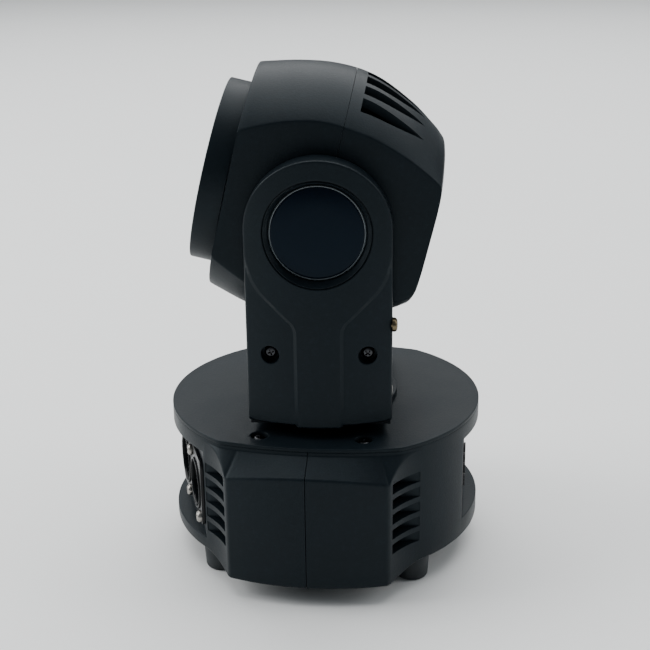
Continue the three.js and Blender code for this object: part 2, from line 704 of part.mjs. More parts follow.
// sections across the beam from front to back, ellipses that the flat cheeks cut off
function headLoft(inset, from, to) {
  const curve = new THREE.SplineCurve(HEAD_PROFILE.map(([y, r]) => new THREE.Vector2(y, r)));
  const rings = [];
  for (const p of curve.getPoints(7)) {
    if (p.x > from || p.x < to) continue;
    rings.push(headSection(p.x, p.y - inset, headWidth(p.x, p.y) - inset));
  }
  return rings;
}

function headSection(y, halfHeight, halfWidth) {
  const ring = [];
  const n = 40;
  for (let i = 0; i < n; i++) {
    const a = (i / n) * 2 * Math.PI;
    ring.push(new THREE.Vector3(halfWidth * Math.cos(a), y, HEAD_Z + halfHeight * Math.sin(a)));
  }
  return ring;
}

function headShell() {
  const last = HEAD_PROFILE.at(-1);
  const outerRings = headLoft(0, 100, -100);
  outerRings.push(headSection(HEAD_REAR + 0.7, last[1] * 0.62, HEAD_SIDE * 0.62), headSection(HEAD_REAR, 6, 9));
  const outer = loft(outerRings).intersect(box(-HEAD_X, HEAD_X, -90, 90, -90, 90));
  const innerRings = headLoft(WALL, 39, -41);
  innerRings.unshift(headSection(HEAD_PROFILE[0][0] - WALL, HEAD_PROFILE[0][1] - WALL, HEAD_PROFILE[0][1] - WALL));
  const cheek = HEAD_X - WALL;
  const inner = loft(innerRings).intersect(box(-cheek, cheek, -90, 90, -90, 90));
  const mouth = turnAboutX(rodZ(36.4, 30, 60, 0, 0, 28));
  const shaftHole = rodX(SHAFT_R + GAP, -60, 60, 0, 0, 12);
  return cut(outer, inner, mouth, shaftHole, ...headVents(), ...rearGrille());
}

// +Z becomes +Y, then up to the middle of the head's sections
function turnAboutX(body, z = HEAD_Z) {
  const g = toGeometry(body);
  return solid(g.rotateX(-Math.PI / 2).translate(0, 0, z));
}

// blade-shaped slots over the rear of the head, their tips towards the back
function headVents() {
  const [front, tip] = [-5.6, -33.5];
  const blade = (outer, inner, tipX) => {
    const s = new THREE.Shape();
    s.moveTo(outer, front);
    s.lineTo(inner, front);
    s.lineTo(tipX, tip);
    s.quadraticCurveTo(outer, tip * 0.72, outer, front);
    return prismZ(s, 25, 90, 2);
  };
  const slots = [blade(-3.6, 3.6, 0)];
  for (const side of [-1, 1]) {
    slots.push(blade(side * 14.6, side * 7.2, side * 5));
    slots.push(blade(side * 23.6, side * 17.6, side * 15.6));
    slots.push(blade(side * 33.2, side * 26.2, side * 26.8));
  }
  return slots;
}

// rows of slots in the flat back, in front of the fan
function rearGrille() {
  const slots = [];
  for (let k = -3; k <= 3; k++) {
    const z = HEAD_Z + 7 * k;
    const half = Math.sqrt(26 ** 2 - (7 * k) ** 2);
    slots.push(box(-half, half, -60, -40, z - 1.7, z + 1.7));
  }
  return slots;
}

function lensRing() {
  const ring = cut(
    turnAboutX(rodZ(RING_R, HEAD_PROFILE[0][0] + GAP, RING_FRONT, 0, 0, 48)),
    turnAboutX(rodZ(36.6, LENS_FACE - 2, 70, 0, 0, 36)),
    turnAboutX(rodZ(34.4, 0, 70, 0, 0, 36)));
  return ring;
}

function lensPlaces() {
  const places = [[0, 0]];
  for (let k = 0; k < LENSES; k++) {
    const a = (k / LENSES) * 2 * Math.PI + Math.PI / 6;
    places.push([LENS_CIRCLE * Math.cos(a), LENS_CIRCLE * Math.sin(a)]);
  }
  return places;
}

function lensMask() {
  let body = rodZ(36.3, LENS_FACE - 1.7, LENS_FACE, 0, 0, 30);
  for (const [x, z] of lensPlaces()) body = cut(body, rodZ(LENS_R + GAP, 0, 90, x, z, 12));
  return turnAboutX(body);
}

// seven domed collimator lenses moulded on one carrier
function lensArray() {
  let body = rodZ(34.1, 41.4, 43.4, 0, 0, 24);
  for (const [x, z] of lensPlaces()) {
    body = join(body, turnedZ([[0, 42], [LENS_R, 42], [LENS_R, 45.6], [LENS_R * 0.7, 47.6], [0, 48.6]],
      x, z, 12), rodZ(4, 30.4, 42, x, z, 8, LENS_R - 1));
  }
  return turnAboutX(body);
}

function ledBoard() {
  let body = rodZ(34, 27.2, 28.8, 0, 0, 24);
  for (const [x, z] of lensPlaces()) body = join(body, box(x - 2.6, x + 2.6, z - 2.6, z + 2.6, 28, 30));
  return turnAboutX(body);
}

function heatSink() {
  let body = rodZ(34, 21, 26.9, 0, 0, 24);
  for (let k = -5; k <= 5; k++) {
    const half = Math.sqrt(33 ** 2 - (5.6 * k) ** 2);
    if (Math.abs(k) > 0) body = join(body, box(5.6 * k - 0.8, 5.6 * k + 0.8, -half, half, -6, 22));
  }
  return turnAboutX(body);
}

function fanFrame() {
  const frame = new THREE.ExtrudeGeometry(roundedRect(FAN_SIZE, FAN_SIZE, 4),
    { depth: FAN_FRONT - FAN_BACK, bevelEnabled: false, curveSegments: 4 });
  let body = solid(frame.rotateX(Math.PI / 2).translate(0, FAN_FRONT, HEAD_Z));
  body = cut(body, rodY(28.4, FAN_BACK - 5, FAN_FRONT + 5, 0, HEAD_Z, 24));
  const spider = FAN_FRONT - 1.5;
  body = join(body,
    box(-29, 29, spider, FAN_FRONT, HEAD_Z - 1.5, HEAD_Z + 1.5),
    box(-1.5, 1.5, spider, FAN_FRONT, HEAD_Z - 29, HEAD_Z + 29),
    rodY(11, spider, FAN_FRONT, 0, HEAD_Z),
    rodY(FAN_SPINDLE_R, FAN_BACK + 2, FAN_FRONT - 1, 0, HEAD_Z, 12));
  for (const x of [-25, 25]) {
    for (const z of [-25, 25]) body = cut(body, rodY(2.1, -60, 0, x, HEAD_Z + z, 5));
  }
  return body;
}

function fanRotor() {
  const [front, back] = [FAN_FRONT - 2, FAN_BACK + 1];
  let body = cut(rodZ(11.5, back, front, 0, 0, 14), rodZ(boreFor(FAN_SPINDLE_R, 12), -90, 0, 0, 0, 12));
  const blade = solid(new THREE.BoxGeometry(17, 1.2, 9).rotateX(0.75).translate(18, 0, (front + back) / 2));
  for (let k = 0; k < FAN_BLADES; k++) body = join(body, turnAbout(blade, (k / FAN_BLADES) * 2 * Math.PI));
  return turnAboutX(body);
}

// flange inside the cheek, hollow journal out through the bearing; made for the +X side
function tiltShaft(end) {
  const inside = HEAD_X - WALL - GAP;
  return cut(join(rodX(10, inside - 2.4, inside), rodX(SHAFT_R, inside - 1, end)), rodX(3.2, 0, 90, 0, 0, 12));
}

// ---- assembly ---------------------------------------------------------------------------------------
const shell = baseShell();
place(object, 'base_shell_front', cut(shell, box(-REACH, REACH, -SEAM / 2, REACH, -REACH, REACH)), blackPlastic);
place(object, 'base_shell_rear', cut(shell, box(-REACH, REACH, -REACH, SEAM / 2, -REACH, REACH)), blackPlastic);
place(object, 'top_plate', topPlate(), blackPlastic);
deckScrewPlaces().forEach(([x, y], i) => place(object, `top_plate_screw_${i + 1}`, deckScrew(x, y), blackSteel));
place(object, 'bottom_plate', bottomPlate(), blackSteel);
for (const [i, [sx, sy]] of [[-1, -1], [1, -1], [1, 1], [-1, 1]].entries()) {
  place(object, `foot_${i + 1}`, foot(sx * FOOT_AT, sy * FOOT_AT), rubber);
}
place(object, 'control_panel', controlPanel(), glossPlastic);
place(object, 'display_window', displayWindow(), glossPlastic);
place(object, 'control_board', controlBoard(), circuit);
buttonPlaces().forEach((x, i) => place(object, `button_${i + 1}`, button(x), rubber));
for (const [name, side, along, kind] of [
  ['data_in_socket', -1, SOCKETS_AT[0], 'male'], ['data_out_socket', -1, SOCKETS_AT[1], 'female'],
  ['power_out_socket', 1, SOCKETS_AT[1], 'power'], ['power_in_socket', 1, SOCKETS_AT[0], 'power'],
]) place(object, name, atSocket(socket(kind), side, along), silver);
place(object, 'main_board', mainBoard(), circuit);
place(object, 'power_supply', powerSupply(), aluminium);
place(object, 'pan_motor', panMotor(), blackSteel);
place(object, 'motor_plate', motorPlate(), steel);
place(object, 'pan_motor_pulley', pulley(PAN_PINION_R, boreFor(2.5, 14), 52, 57.2, PAN_MOTOR_X, 14), aluminium);
place(object, 'pan_belt', panBelt(), rubber);
place(object, 'pan_bearing', panBearing(), steel);

place(yoke, 'pan_hub', panHub(), blackPlastic);
place(yoke, 'pan_pulley', pulley(PAN_PULLEY_R, HUB_R + GAP, 52, 57.2), aluminium);
place(yoke, 'yoke_frame', yokeFrame(), blackPlastic);
const nearCover = cut(halfTurn(armCover()), sideScrewHole(true));
place(yoke, 'arm_cover_left', nearCover, blackPlastic);
place(yoke, 'arm_cover_right', armCover(), blackPlastic);
place(yoke, 'arm_badge_left', halfTurn(armBadge()), glossPlastic);
place(yoke, 'arm_badge_right', armBadge(), glossPlastic);
for (const [i, y] of [-ARM_SCREW_Y, ARM_SCREW_Y].entries()) {
  place(yoke, `arm_screw_left_${i + 1}`, halfTurn(armScrew(-y)), blackSteel);
  place(yoke, `arm_screw_right_${i + 1}`, armScrew(y), blackSteel);
}
place(yoke, 'side_screw_lower', sideScrew(SIDE_SCREWS.lower, 3.5, 1.4, 4), silver);
place(yoke, 'side_screw_upper', sideScrew(SIDE_SCREWS.upper, 2.9, 1, 3), brass);
place(yoke, 'tilt_motor', tiltMotor(), blackSteel);
place(yoke, 'tilt_motor_pulley', tiltWheel(TILT_PINION_R, boreFor(1.5, 12), PINION_Z), aluminium);
place(yoke, 'tilt_belt', tiltBelt(), rubber);
place(yoke, 'tilt_bearing_left', halfTurn(tiltBearing()), steel);
place(yoke, 'tilt_bearing_right', tiltBearing(), steel);

const housing = headShell();
place(head, 'head_front_shell', cut(housing, box(-90, 90, -90, HEAD_SPLIT + SEAM, -90, 90)), blackPlastic);
place(head, 'head_rear_shell', cut(housing, box(-90, 90, HEAD_SPLIT, 90, -90, 90)), blackPlastic);
place(head, 'lens_ring', lensRing(), blackPlastic);
place(head, 'lens_mask', lensMask(), glossPlastic);
place(head, 'lens_array', lensArray(), clear);
place(head, 'led_board', ledBoard(), circuit);
place(head, 'heat_sink', heatSink(), aluminium);
place(head, 'fan_frame', fanFrame(), rubber);
place(head, 'fan_rotor', fanRotor(), rubber);
place(head, 'tilt_shaft_left', halfTurn(tiltShaft(DISH_FLOOR_X - DISH_WALL - GAP)), steel);
place(head, 'tilt_shaft_right', tiltShaft(45.8), steel);
place(head, 'tilt_pulley', tiltWheel(TILT_PULLEY_R, SHAFT_R + GAP, 0), aluminium);

export default object;
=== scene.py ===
"""Looks of the moving head wash light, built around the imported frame. Lengths below are in millimetres."""
import json
import math

import bmesh
import bpy
import numpy as np
from mathutils import Matrix, Quaternion, Vector
from mathutils.geometry import delaunay_2d_cdt


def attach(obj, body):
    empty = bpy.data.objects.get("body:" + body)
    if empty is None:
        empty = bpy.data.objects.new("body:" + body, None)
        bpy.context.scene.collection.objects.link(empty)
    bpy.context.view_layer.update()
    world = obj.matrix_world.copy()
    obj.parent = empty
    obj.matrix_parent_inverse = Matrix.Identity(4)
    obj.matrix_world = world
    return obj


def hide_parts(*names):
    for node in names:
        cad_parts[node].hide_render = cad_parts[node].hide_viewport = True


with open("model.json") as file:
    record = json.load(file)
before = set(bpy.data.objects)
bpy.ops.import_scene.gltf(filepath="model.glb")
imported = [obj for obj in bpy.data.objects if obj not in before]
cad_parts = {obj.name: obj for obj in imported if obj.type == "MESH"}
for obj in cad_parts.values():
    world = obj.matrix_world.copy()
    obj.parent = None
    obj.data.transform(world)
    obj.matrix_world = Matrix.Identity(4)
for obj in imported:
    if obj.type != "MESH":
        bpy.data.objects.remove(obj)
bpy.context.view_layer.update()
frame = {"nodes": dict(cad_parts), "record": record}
scene = bpy.context.scene
MM = 0.001
rad = math.radians

# ---- dimensions, the same as the solids' ---------------------------------------------------------
DISC_R, DISC_TOP, DECK_SKIRT = 70, 68, 1.58
DECK_HOLE_R, DECK_UNDER = 20.5, 63.5
FLAT_X, FLAT_R = 63.5, 153.6
DRUM_BOTTOM, RIM_BOTTOM, RIM_TOP, RIM_W = 12.3, 64.8, 66.4, 5
SEAM = 0.3  # between the two halves of the base shell
POD_X, POD_R = 74.2, 107.8
POD_CORNER, FAIRING_END = rad(26.6), rad(43.5)
POD_STEP, FAIRING_CURVE, FAIRING_RISE = 6.7, 2.6, 3.2
POD_BOTTOM, POD_FRONT_TOP, POD_CORNER_TOP = 8.3, 59.1, 55.4
POD_WALL, DRUM_WALL = 4.6, 2.4
LOUVRES, LOUVRE_PITCH, LOUVRE_H, LOUVRE_FIRST_Z = 5, 7, 4.6, 24.4
LOUVRE_FROM, LOUVRE_TO = rad(28.3), rad(41.3)
RAMP_FROM, RAMP_TO, RAMP_DEPTH, RAMP_CURVE = 0.5, 1.02, 4.2, 1.2  # from and to are parts of a slot
FOOT_AT = 42.6
PANEL_Y, PANEL_BOTTOM = -63.8, 20.9
PANEL_HOLE_X, PANEL_HOLE_LOW, PANEL_HOLE_HIGH = 24.9, 24.1, 55.9
FACET_TURN, FACET_D, FACET_BOTTOM, FACET_TOP = rad(21.4), 62.65, 17.8, 59.3
PANEL_END, FACET_END = 24, 47.9  # degrees from the panel's middle and from the pods' axis
SOCKETS_AT, SOCKET_Z, SOCKET_HOLE_R = (17, -9.9), 38.2, 12.2
SOCKET_W, SOCKET_H, SOCKET_CORNER = 26, 31, 3.2
SOCKET_SCREW_X, SOCKET_SCREW_Z = 9.5, 12
DECK_SCREW_R, DECK_SCREW_TURN, DECK_SCREW_SEAT = 56, rad(23.3), 65.7
REST_PAN, REST_TILT, TILT_Z = rad(4), rad(13.75), 156.4
ARM_W, ARM_FACE_R, ARM_X, ARM_SIDE_X, ARM_BOTTOM = 30.4, 72, 54, 53.1, 72.9
ARM_BACK_X, ARM_INSIDE_X, ARM_LIP, ARM_EDGE = 42.1, 44.2, 0.45, 0.8
ARM_SCREW_Y, ARM_SCREW_Z, ARM_SCREW_FLOOR = 20.2, 104.6, 45.2
SIDE_SCREW_LOW, SIDE_SCREW_HIGH = (-30, -28.6, 80.6), (-45, -ARM_W, 116.4)
TURNTABLE_R = 32.8
HEAD_Z, HEAD_X, HEAD_SIDE, HEAD_SPLIT, HEAD_SEAM = 4.34, 41, 56, -0.7, 0.16
HEAD_PROFILE = [(40.25, 49), (22.4, 53.8), (6.5, 56), (-9.5, 54.5), (-26, 47.8), (-38.4, 39.9),
                (-43.4, 35.8)]
HEAD_REAR, HEAD_WALL, CHEEK_BLEND = -45.5, 3.2, 12
MOUTH_R, AXLE_R = 36.4, 5.3
BACK_SLOT_PITCH, BACK_SLOT_HALF_H, BACK_SLOTS_R = 7, 1.7, 26
RING_R, RING_FRONT, LENS_R, LENS_CIRCLE = 39.6, 51.1, 10.3, 23.6

# the camera's place in metres, its lens in millimetres and its roll in degrees
CAMERA_AT, CAMERA_LOOK = (-0.5297, -0.0660, 0.2880), (0.9360, 0.1166, -0.3319)
CAMERA_LENS, CAMERA_ROLL = 69.3, -0.7

SHARP = 34  # edges that turn by more degrees than this stay sharp

BASE = Matrix.Identity(4)
YOKE = Matrix.Rotation(REST_PAN, 4, "Z")
HEAD = YOKE @ Matrix.Translation((0, 0, TILT_Z * MM)) @ Matrix.Rotation(REST_TILT, 4, "X")
HALF_TURN = Matrix.Rotation(math.pi, 4, "Z")


# ---- materials -----------------------------------------------------------------------------------
class Nodes:
    """A material under construction."""

    def __init__(self, name, color, rough, metal=0.0, **sockets):
        self.mat = bpy.data.materials.new(name)
        self.mat.use_nodes = True
        self.tree = self.mat.node_tree
        self.bsdf = self.tree.nodes["Principled BSDF"]
        self.bsdf.inputs["Base Color"].default_value = (*color, 1)
        self.bsdf.inputs["Roughness"].default_value = rough
        self.bsdf.inputs["Metallic"].default_value = metal
        for key, value in sockets.items():
            self.bsdf.inputs[key.replace("_", " ")].default_value = value
        self.place = self.tree.nodes.new("ShaderNodeTexCoord").outputs["Object"]

    def add(self, kind, links=(), **values):
        node = self.tree.nodes.new(kind)
        for key, value in values.items():
            if key in node.inputs:
                node.inputs[key].default_value = value
            else:
                setattr(node, key, value)
        for source, socket in links:
            self.tree.links.new(source, node.inputs[socket])
        return node

    def noise(self, scale, detail=3.0, rough=0.5, place=None):
        node = self.add("ShaderNodeTexNoise", [(place or self.place, "Vector")],
                        Scale=scale, Detail=detail, Roughness=rough)
        return node.outputs["Fac"]

    def cells(self, scale, feature="F1"):
        node = self.add("ShaderNodeTexVoronoi", [(self.place, "Vector")], Scale=scale, feature=feature)
        return node.outputs["Distance"]

    def remap(self, value, lo, hi, to_lo, to_hi):
        node = self.add("ShaderNodeMapRange", [(value, "Value")])
        for socket, number in zip(("From Min", "From Max", "To Min", "To Max"), (lo, hi, to_lo, to_hi)):
            node.inputs[socket].default_value = number
        return node.outputs["Result"]

    def blend(self, value, dark, light):
        node = self.add("ShaderNodeMix", [(value, "Factor")], data_type="RGBA")
        node.inputs["A"].default_value = (*dark, 1)
        node.inputs["B"].default_value = (*light, 1)
        self.tree.links.new(node.outputs["Result"], self.bsdf.inputs["Base Color"])

    def roughness(self, value):
        self.tree.links.new(value, self.bsdf.inputs["Roughness"])

    def bump(self, *layers):
        """Layers are (height, strength, distance in mm)."""
        normal = None
        for height, strength, distance in layers:
            links = [(height, "Height")] + ([(normal, "Normal")] if normal else [])
            node = self.add("ShaderNodeBump", links, Strength=strength, Distance=distance * MM)
            normal = node.outputs["Normal"]
        self.tree.links.new(normal, self.bsdf.inputs["Normal"])


def moulded(name, color, rough, grain=1.0, lift=1.6, shine=0.15):
    """Black moulded plastic: leathery spark grain, cloudy gloss and a little handling dust."""
    m = Nodes(name, color, rough, Specular_IOR_Level=shine, Specular_Tint=(0.8, 0.93, 1, 1))
    cloud = m.noise(28, 4)
    fine = m.noise(2100, 2)
    dust = m.noise(420, 5, 0.7)
    light = tuple(c * lift for c in color)
    mixed = m.add("ShaderNodeMath", [(cloud, 0), (m.remap(dust, 0.52, 0.75, 0, 0.5), 1)], operation="ADD")
    m.blend(m.remap(mixed.outputs[0], 0.35, 1.0, 0, 1), color, light)
    m.roughness(m.remap(m.add("ShaderNodeMath", [(cloud, 0), (fine, 1)], operation="ADD").outputs[0],
                        0.7, 1.3, rough - 0.06, rough + 0.07))
    m.bump((m.cells(1150), 0.32 * grain, 0.07), (m.noise(900, 3, 0.6), 0.3 * grain, 0.08),
           (fine, 0.12 * grain, 0.03))
    return m.mat


def glossy(name, color, rough, **sockets):
    """Smooth plastic or resin with a slightly uneven gloss."""
    m = Nodes(name, color, rough, **sockets)
    m.roughness(m.remap(m.noise(60, 4), 0.3, 0.7, rough * 0.7, rough * 1.6))
    m.blend(m.noise(35, 3), color, tuple(c * 1.25 for c in color))
    m.bump((m.noise(16, 2), 0.04, 0.2))
    return m.mat


def metal(name, color, rough, brush=1.0):
    """Metal with a fine brushed grain."""
    m = Nodes(name, color, rough, 1.0)
    stretched = m.add("ShaderNodeMapping", [(m.place, "Vector")], Scale=(0.12, 1, 1)).outputs[0]
    grain = m.noise(1500, 3, place=stretched)
    m.roughness(m.remap(m.noise(180, 4), 0.3, 0.7, rough * 0.7, rough * 1.4))
    m.blend(m.noise(240, 4), tuple(c * 0.72 for c in color), color)
    m.bump((grain, 0.14 * brush, 0.04), (m.noise(500, 2), 0.08, 0.05))
    return m.mat


def rubbery(name, color, rough=0.72):
    m = Nodes(name, color, rough)
    m.blend(m.noise(90, 5, 0.65), color, tuple(c * 1.9 for c in color))
    m.roughness(m.remap(m.noise(160, 3), 0.3, 0.7, rough - 0.08, rough + 0.08))
    m.bump((m.noise(700, 4), 0.35, 0.12), (m.cells(1300), 0.2, 0.05))
    return m.mat


def board(name):
    """Circuit board: tracks under green solder mask."""
    m = Nodes(name, (0.01, 0.07, 0.03), 0.35)
    tracks = m.remap(m.cells(260, "DISTANCE_TO_EDGE"), 0.02, 0.05, 0, 1)
    m.blend(tracks, (0.03, 0.16, 0.06), (0.008, 0.06, 0.025))
    m.bump((m.cells(260, "DISTANCE_TO_EDGE"), 0.3, 0.1))
    return m.mat


def lens_clear(name):
    m = Nodes(name, (0.9, 0.93, 0.95), 0.05, IOR=1.49)
    m.bsdf.inputs["Transmission Weight"].default_value = 0.9
    m.roughness(m.remap(m.noise(220, 3), 0.3, 0.7, 0.03, 0.1))
    m.bump((m.cells(700), 0.25, 0.08))
    return m.mat


ABS = (0.0035, 0.0062, 0.0085)
MATS = {
    "housing_black": moulded("moulded_black", ABS, 0.43),
    "gloss_black": glossy("gloss_black", (0.006, 0.006, 0.007), 0.12),
    "badge_gloss": glossy("badge_resin", (0.0008, 0.0025, 0.006), 0.05, Specular_IOR_Level=0.12,
                          Specular_Tint=(0.6, 0.8, 1, 1)),
    "display_window": glossy("smoked_window", (0.03, 0.003, 0.003), 0.06),
    "foot_rubber": rubbery("foot_rubber", (0.003, 0.006, 0.008), 0.6),
    "button_rubber": rubbery("button_rubber", (0.012, 0.012, 0.013), 0.55),
    "belt_rubber": rubbery("belt_rubber", (0.01, 0.01, 0.01)),
    "fan_plastic": moulded("fan_plastic", (0.012, 0.012, 0.013), 0.4, 0.4),
    "painted_plate": moulded("powder_coat", (0.014, 0.016, 0.018), 0.5, 1.3),
    "black_steel": metal("black_oxide", (0.05, 0.052, 0.056), 0.2),
    "bright_steel": metal("zinc_plate", (0.36, 0.345, 0.32), 0.3),
    "socket_metal": glossy("socket_black", (0.004, 0.005, 0.006), 0.3, Specular_IOR_Level=0.2),
    "screw_brass": metal("dark_zinc", (0.16, 0.13, 0.08), 0.25),
    "aluminium": metal("plain_aluminium", (0.6, 0.61, 0.62), 0.38, 1.4),
    "circuit_board": board("solder_mask"),
    "clear_lens": lens_clear("clear_acrylic"),
}
# painted highlight: a lighter grey for the ring round each badge, standing in for light caught by the resin
# dome's edge
BADGE_HIGHLIGHT_PAINT = glossy("painted_badge_highlight", (0.07, 0.085, 0.095), 0.2)


# ---- meshes --------------------------------------------------------------------------------------
def make(name, verts, faces, smooth=SHARP):
    """An object from vertices in mm, welded, with its normals outwards and sharp edges kept."""
    mesh = bpy.data.meshes.new(name)
    points = [tuple(float(c) * MM for c in v) for v in verts]
    mesh.from_pydata(points, [], [list(map(int, f)) for f in faces])
    ob = bpy.data.objects.new(name, mesh)
    scene.collection.objects.link(ob)
    weld(ob)
    shade(ob, smooth)
    return ob


def weld(ob):
    bm = bmesh.new()
    bm.from_mesh(ob.data)
    bmesh.ops.remove_doubles(bm, verts=bm.verts, dist=2e-6)
    bmesh.ops.dissolve_degenerate(bm, edges=bm.edges, dist=1e-6)
    bmesh.ops.recalc_face_normals(bm, faces=bm.faces)
    bm.to_mesh(ob.data)
    bm.free()


def shade(ob, angle=SHARP):
    ob.data.polygons.foreach_set("use_smooth", [True] * len(ob.data.polygons))
    ob.data.set_sharp_from_angle(angle=rad(angle))


def sheet_faces(rows, cols, wrap_rows):
    """Four-sided faces between rows of vertices."""
    faces = []
    for i in range(rows if wrap_rows else rows - 1):
        for j in range(cols):
            a, b = i, (i + 1) % rows
            c, d = j, (j + 1) % cols
            faces.append((a * cols + c, a * cols + d, b * cols + d, b * cols + c))
    return faces


def grid(name, points, wrap_rows=False, caps=False, smooth=SHARP):
    """points[row][col] is a vertex and each row is a loop; caps closes the first and last row."""
    p = np.asarray(points, float)
    rows, cols = p.shape[:2]
    faces = sheet_faces(rows, cols, wrap_rows)
    if caps:
        faces += [tuple(range(cols)), tuple((rows - 1) * cols + j for j in reversed(range(cols)))]
    return make(name, p.reshape(-1, 3), faces, smooth)


def bend(p, q, r, reach, steps):
    """The corner q of p-q-r drawn as a short curve."""
    p, q, r = (np.asarray(v, float) for v in (p, q, r))
    a, b = q - p, r - q
    la, lb = max(np.linalg.norm(a), 1e-9), max(np.linalg.norm(b), 1e-9)
    u = min(reach, 0.48 * la, 0.48 * lb)
    start, end = q - a / la * u, q + b / lb * u
    return [(1 - t) ** 2 * start + 2 * t * (1 - t) * q + t * t * end for t in np.linspace(0, 1, steps + 1)]


def rounded(points, reach, steps=3, closed=False):
    """A line of points with its corners rounded; reach is one number or one for each corner."""
    n = len(points)
    reaches = reach if hasattr(reach, "__len__") else [reach] * n
    out = []
    for i, point in enumerate(points):
        if not closed and i in (0, n - 1):
            out.append(np.asarray(point, float))
        else:
            out += bend(points[i - 1], point, points[(i + 1) % n], reaches[i], steps)
    return out


def lathe(name, profile, n=72, axis="Z", at=(0, 0, 0), smooth=SHARP):
    """A turned piece from (radius, height) points about an axis through at."""
    turn = np.linspace(0, 2 * math.pi, n, endpoint=False)
    rows = []
    for r, h in profile:
        ring = np.stack([r * np.cos(turn), r * np.sin(turn), np.full(n, float(h))], 1)
        if axis == "X":
            ring = ring[:, [2, 0, 1]]
        if axis == "Y":
            ring = ring[:, [1, 2, 0]]
        rows.append(ring + np.asarray(at, float))
    return grid(name, rows, smooth=smooth)


def block(x0, x1, y0, y1, z0, z1):
    """A cutting tool."""
    corners = [(x, y, z) for x in (x0, x1) for y in (y0, y1) for z in (z0, z1)]
    faces = [(0, 1, 3, 2), (4, 6, 7, 5), (0, 4, 5, 1), (2, 3, 7, 6), (0, 2, 6, 4), (1, 5, 7, 3)]
    return make("tool", corners, faces)


def prism(outline, z0, z1):
    """A cutting tool from an outline in X and Y."""
    n = len(outline)
    v = [(x, y, z) for z in (z0, z1) for x, y in outline]
    sides = [(i, (i + 1) % n, n + (i + 1) % n, n + i) for i in range(n)]
    return make("tool", v, sides + [tuple(reversed(range(n))), tuple(range(n, 2 * n))])


def rod_tool(r, low, high, n, axis, at=(0, 0, 0)):
    """A round cutting tool."""
    return lathe("tool", [(0, low), (r, low), (r, high), (0, high)], n, axis, at)


def carve(ob, tools, smooth=SHARP):
    """Cuts the tools away from an object and removes them."""
    for tool in tools:
        m = ob.modifiers.new("carve", "BOOLEAN")
        m.operation, m.object, m.solver = "DIFFERENCE", tool, "EXACT"
    settle(ob)
    for tool in tools:
        bpy.data.objects.remove(tool)
    shade(ob, smooth)
    return ob


def settle(ob):
    """Applies an object's modifiers."""
    dg = bpy.context.evaluated_depsgraph_get()
    ob.data = bpy.data.meshes.new_from_object(ob.evaluated_get(dg))
    ob.modifiers.clear()


def merge(name, parts, smooth=SHARP):
    """Several objects as one piece."""
    bm = bmesh.new()
    for part in parts:
        part.data.transform(part.matrix_world)
        bm.from_mesh(part.data)
    mesh = bpy.data.meshes.new(name)
    bm.to_mesh(mesh)
    bm.free()
    for part in parts:
        bpy.data.objects.remove(part)
    ob = bpy.data.objects.new(name, mesh)
    scene.collection.objects.link(ob)
    shade(ob, smooth)
    return ob


def finish_piece(ob, body, slot, nodes=(), xf=BASE, material=None):
    """Puts a piece in place, on its body, with its material, in place of its CAD nodes."""
    ob.data.transform(xf)
    ob.data.materials.clear()
    ob.data.materials.append(material or MATS[slot])
    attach(ob, body)
    if nodes:
        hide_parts(*nodes)


# ---- base shell ----------------------------------------------------------------------------------
def from_pod_axis(a):
    """The angle between a direction and the nearer pod's axis."""
    return math.atan2(abs(math.sin(a)), abs(math.cos(a)))


def soft_min(p, q, blend):
    """The smaller of two numbers, with a soft change from one to the other."""
    t = min(max(0.5 + (p - q) / (2 * blend), 0), 1)
    return p + (q - p) * t - blend * t * (1 - t)


def deck_edge(a):
    """How far out the deck reaches: a circle with a slightly bowed flat on each pod side."""
    c = FLAT_R - FLAT_X
    flat = math.sqrt(FLAT_R ** 2 - (c * math.sin(a)) ** 2) - c * abs(math.cos(a))
    return soft_min(DISC_R, flat, 0.5)


def along_fairing(a):
    """Zero at the pod's corner, one where the fairing runs into the drum."""
    return min(max((from_pod_axis(a) - POD_CORNER) / (FAIRING_END - POD_CORNER), -2), 1)


def pod_edge(a):
    """How far out the wall stands, round the pods, fairings and drum."""
    phi, c = from_pod_axis(a), POD_R - POD_X
    front = math.sqrt(POD_R ** 2 - (c * math.sin(phi)) ** 2) - c * math.cos(phi)
    return soft_min(DISC_R + POD_STEP * (1 - along_fairing(a)) ** FAIRING_CURVE, front, 1.3)


def pod_top(a):
    phi = from_pod_axis(a)
    if phi < POD_CORNER:
        return POD_FRONT_TOP - (POD_FRONT_TOP - POD_CORNER_TOP) * (phi / POD_CORNER) ** 2
    return RIM_BOTTOM - (RIM_BOTTOM - POD_CORNER_TOP) * (1 - along_fairing(a)) ** FAIRING_RISE


def pod_bottom(a):
    t = min(max(along_fairing(a), 0), 1)
    return POD_BOTTOM + (DRUM_BOTTOM - POD_BOTTOM) * t * t * (3 - 2 * t)


def facet_edge(a, edge):
    """How far out the flat facets let the wall go."""
    s = math.sin(a)
    if s < 0:
        return min(edge, PANEL_Y / s)
    for turn in (FACET_TURN, -FACET_TURN):
        c = math.cos(a - math.pi / 2 - turn)
        if c > 0:
            edge = min(edge, FACET_D / c)
    return edge


